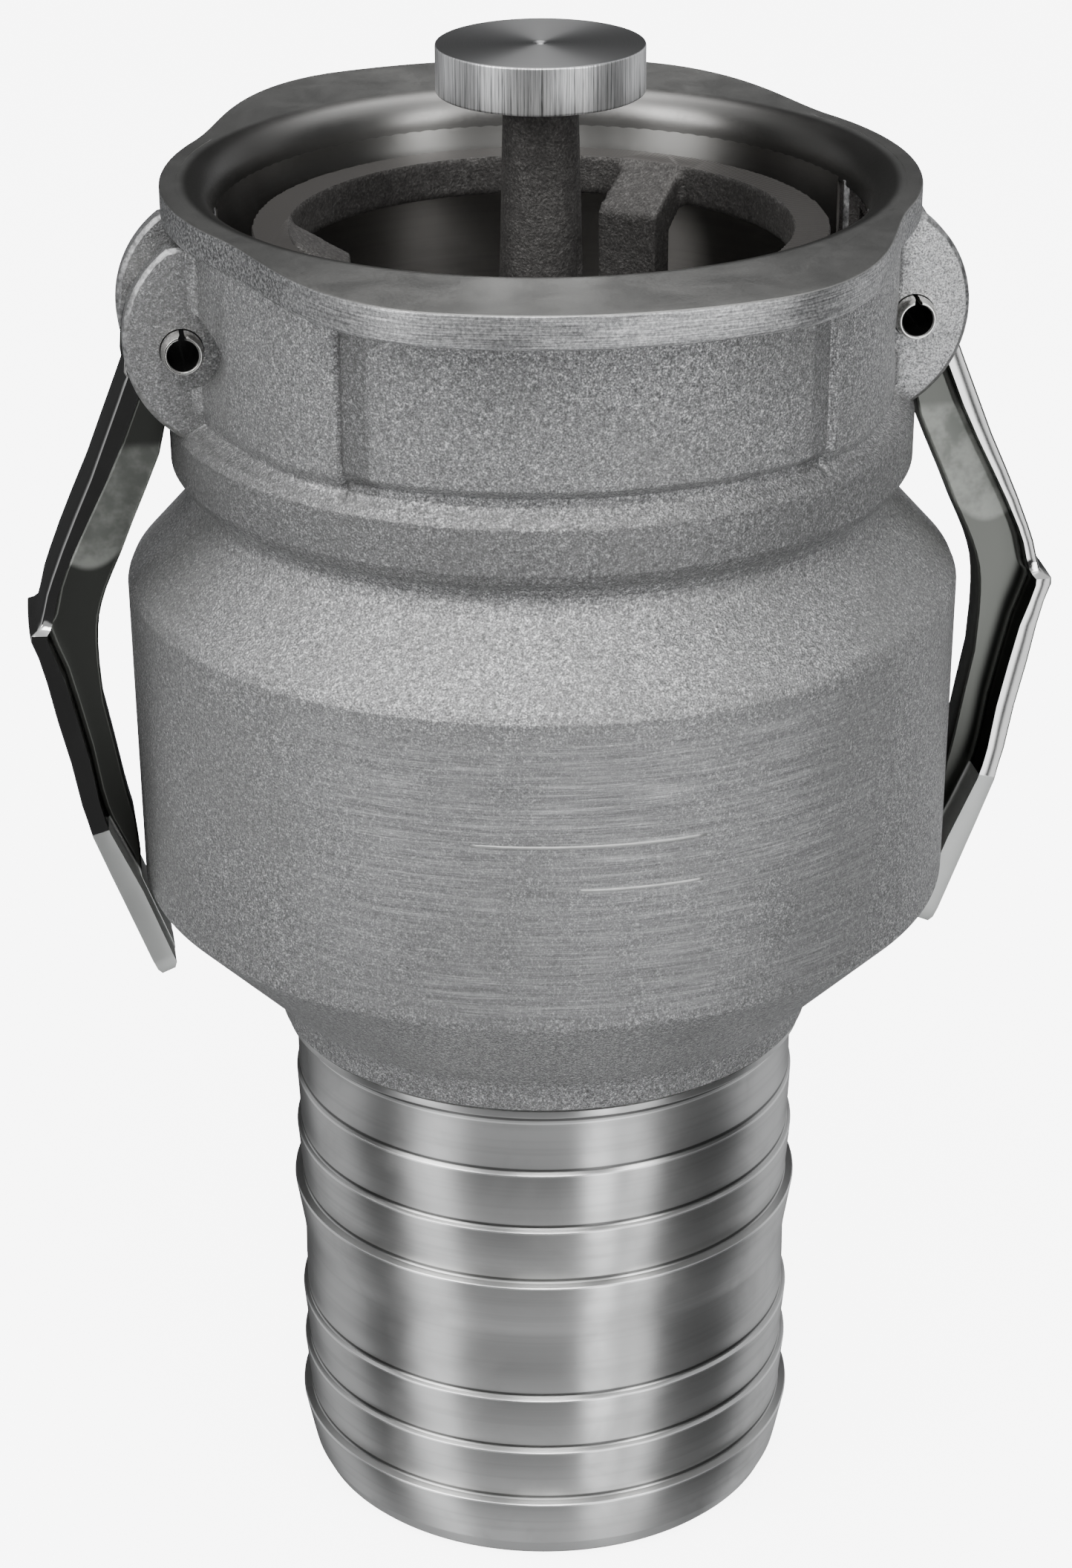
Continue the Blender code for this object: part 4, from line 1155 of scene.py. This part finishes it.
def studio_world():
    """Pale room for the eye and for matt surfaces; dark studio with soft boxes for reflections."""
    n = Nodes("studio", world=True)
    x, y, z = n.axes()
    azimuth = n.math("ARCTAN2", x, n.times(y, -1.0))
    elevation = n.math("ARCSINE", z)
    level = n.blend(n.between(elevation, -1.0, -0.62), 0.40, 0.04)
    level = n.plus(level, n.times(n.between(elevation, 0.6, 1.1), 0.9))
    for centre, half, low, high, strength in STUDIO_ZONES:
        away = n.absolute(n.minus(azimuth, math.radians(centre)))
        inside = n.below(away, math.radians(half * 0.6), math.radians(half * 1.4))
        above = n.between(elevation, math.radians(low - 4), math.radians(low + 4))
        below = n.below(elevation, math.radians(high - 6), math.radians(high + 6))
        zone = n.times(inside, above, below)
        level = n.plus(level, n.times(zone, strength))
    path = n.add("ShaderNodeLightPath").outputs
    room = n.blend(path["Is Camera Ray"], 1.65, 7.0)
    n.feed(n.shader, Color=(0.97, 0.98, 1.0, 1), Strength=n.blend(path["Is Glossy Ray"], room, level))
    bpy.context.scene.world = n.owner


def stage():
    bpy.ops.mesh.primitive_plane_add(size=6.0, location=(0, 0, -0.0005))
    floor = bpy.context.object
    floor.name = "floor"
    n = Nodes("floor")
    seen = n.add("ShaderNodeLightPath").outputs["Is Camera Ray"]
    white = n.done((0.86, 0.86, 0.86, 1), 0.8, metallic=0.0, Emission_Color=(1, 1, 1, 1),
                   Emission_Strength=n.times(seen, 6.0))
    floor.data.materials.append(white)
    floor.visible_glossy = False
    studio_world()
    light("key", (-1.06, -0.57, 1.0), (0, 0, 0.2), 0.6, 11, size_y=0.9)
    light("fill", (0.76, -1.06, 0.8), (0, 0, 0.15), 0.3, 6, size_y=0.9)
    light("front", (-0.1, -0.95, 1.45), (0, 0, 0.2), 0.6, 12)
    light("top", (0.1, 0.5, 1.6), (0, 0, 0.2), 0.9, 6)


def camera():
    """The photo's view: a long lens, tilted down, with the frame shifted up to hold the whole piece."""
    focal, pitch, distance, height, turn = 85.44, 31.3456, 0.6901, 0.46123, 8.3593
    shift_x, shift_y, roll = -0.0054, 0.3089, -0.1877
    data = bpy.data.cameras.new("camera")
    cam = bpy.data.objects.new("camera", data)
    bpy.context.scene.collection.objects.link(cam)
    data.lens = focal
    data.sensor_width = 36.0
    data.shift_x = shift_x
    aim = Vector((math.sin(math.radians(turn)), math.cos(math.radians(turn)), 0))
    cam.location = -aim * distance + Vector((0, 0, height))
    look = aim * math.cos(math.radians(pitch)) - Vector((0, 0, math.sin(math.radians(pitch))))
    level = look.to_track_quat("-Z", "Y")
    cam.rotation_euler = (level @ Quaternion((0, 0, 1), math.radians(roll))).to_euler()
    # The shift belongs to this place only: seen from anywhere else, the frame is centred.
    driver = data.driver_add("shift_y").driver
    driver.type = "SCRIPTED"
    where = driver.variables.new()
    where.name = "h"
    where.type = "TRANSFORMS"
    where.targets[0].id = cam
    where.targets[0].transform_type = "LOC_Z"
    where.targets[0].transform_space = "WORLD_SPACE"
    driver.expression = f"{shift_y} if abs(h - {height}) < 0.0001 else 0.0"
    bpy.context.scene.camera = cam


# ---- assembly

CAST = cast_aluminium()
CHAMFER = chamfer_metal()
DARK_CAST = rough_cast_dark()
RIM_METAL = milled_rim()
PROBE_METAL = probe_metal()
STAINLESS = polished_stainless()
SHANK_METAL = machined("machined_shank", (0.66, 0.66, 0.65), 0.26,
                       crests=[z for z, _ in BARBS] + [COLLAR_Z - 2.2])
BORE_METAL = machined("machined_bore", (0.155, 0.148, 0.14), 0.32, bright_above=RING_TOP - 3.0)
GROUND_ROD = machined("ground_rod", (0.62, 0.62, 0.61), 0.2, pitch=0.1, depth=0.002)
PIN_METAL = plain_metal("pin_steel", (0.80, 0.79, 0.76), 0.12, dark_bore=True)
SPRING_METAL = plain_metal("spring_steel", (0.42, 0.42, 0.41), 0.32)
ZINC = plain_metal("zinc_steel", (0.66, 0.66, 0.63), 0.34)
RAISED_LINE = plain_metal("raised_line", (0.62, 0.62, 0.61), 0.5, wear=0.3)
BRONZE = plain_metal("sintered_bronze", (0.58, 0.40, 0.19), 0.42)
RUBBER = rubber()

head_casting()
ears()
bulge_casting()
casting_lines()
rim_flange()
bore_liner()
hose_shank()
cam_arm("cam_arm_right", 1, "right_arm")
cam_arm("cam_arm_left", -1, "left_arm")
roll_pin("cam_pin_right", 1)
roll_pin("cam_pin_left", -1)
cage_casting()
probe_head()
valve_parts()
clamp_screws()
guide_rod()
valve_spring()
guide_spider()
carried_over()
stage()
camera()
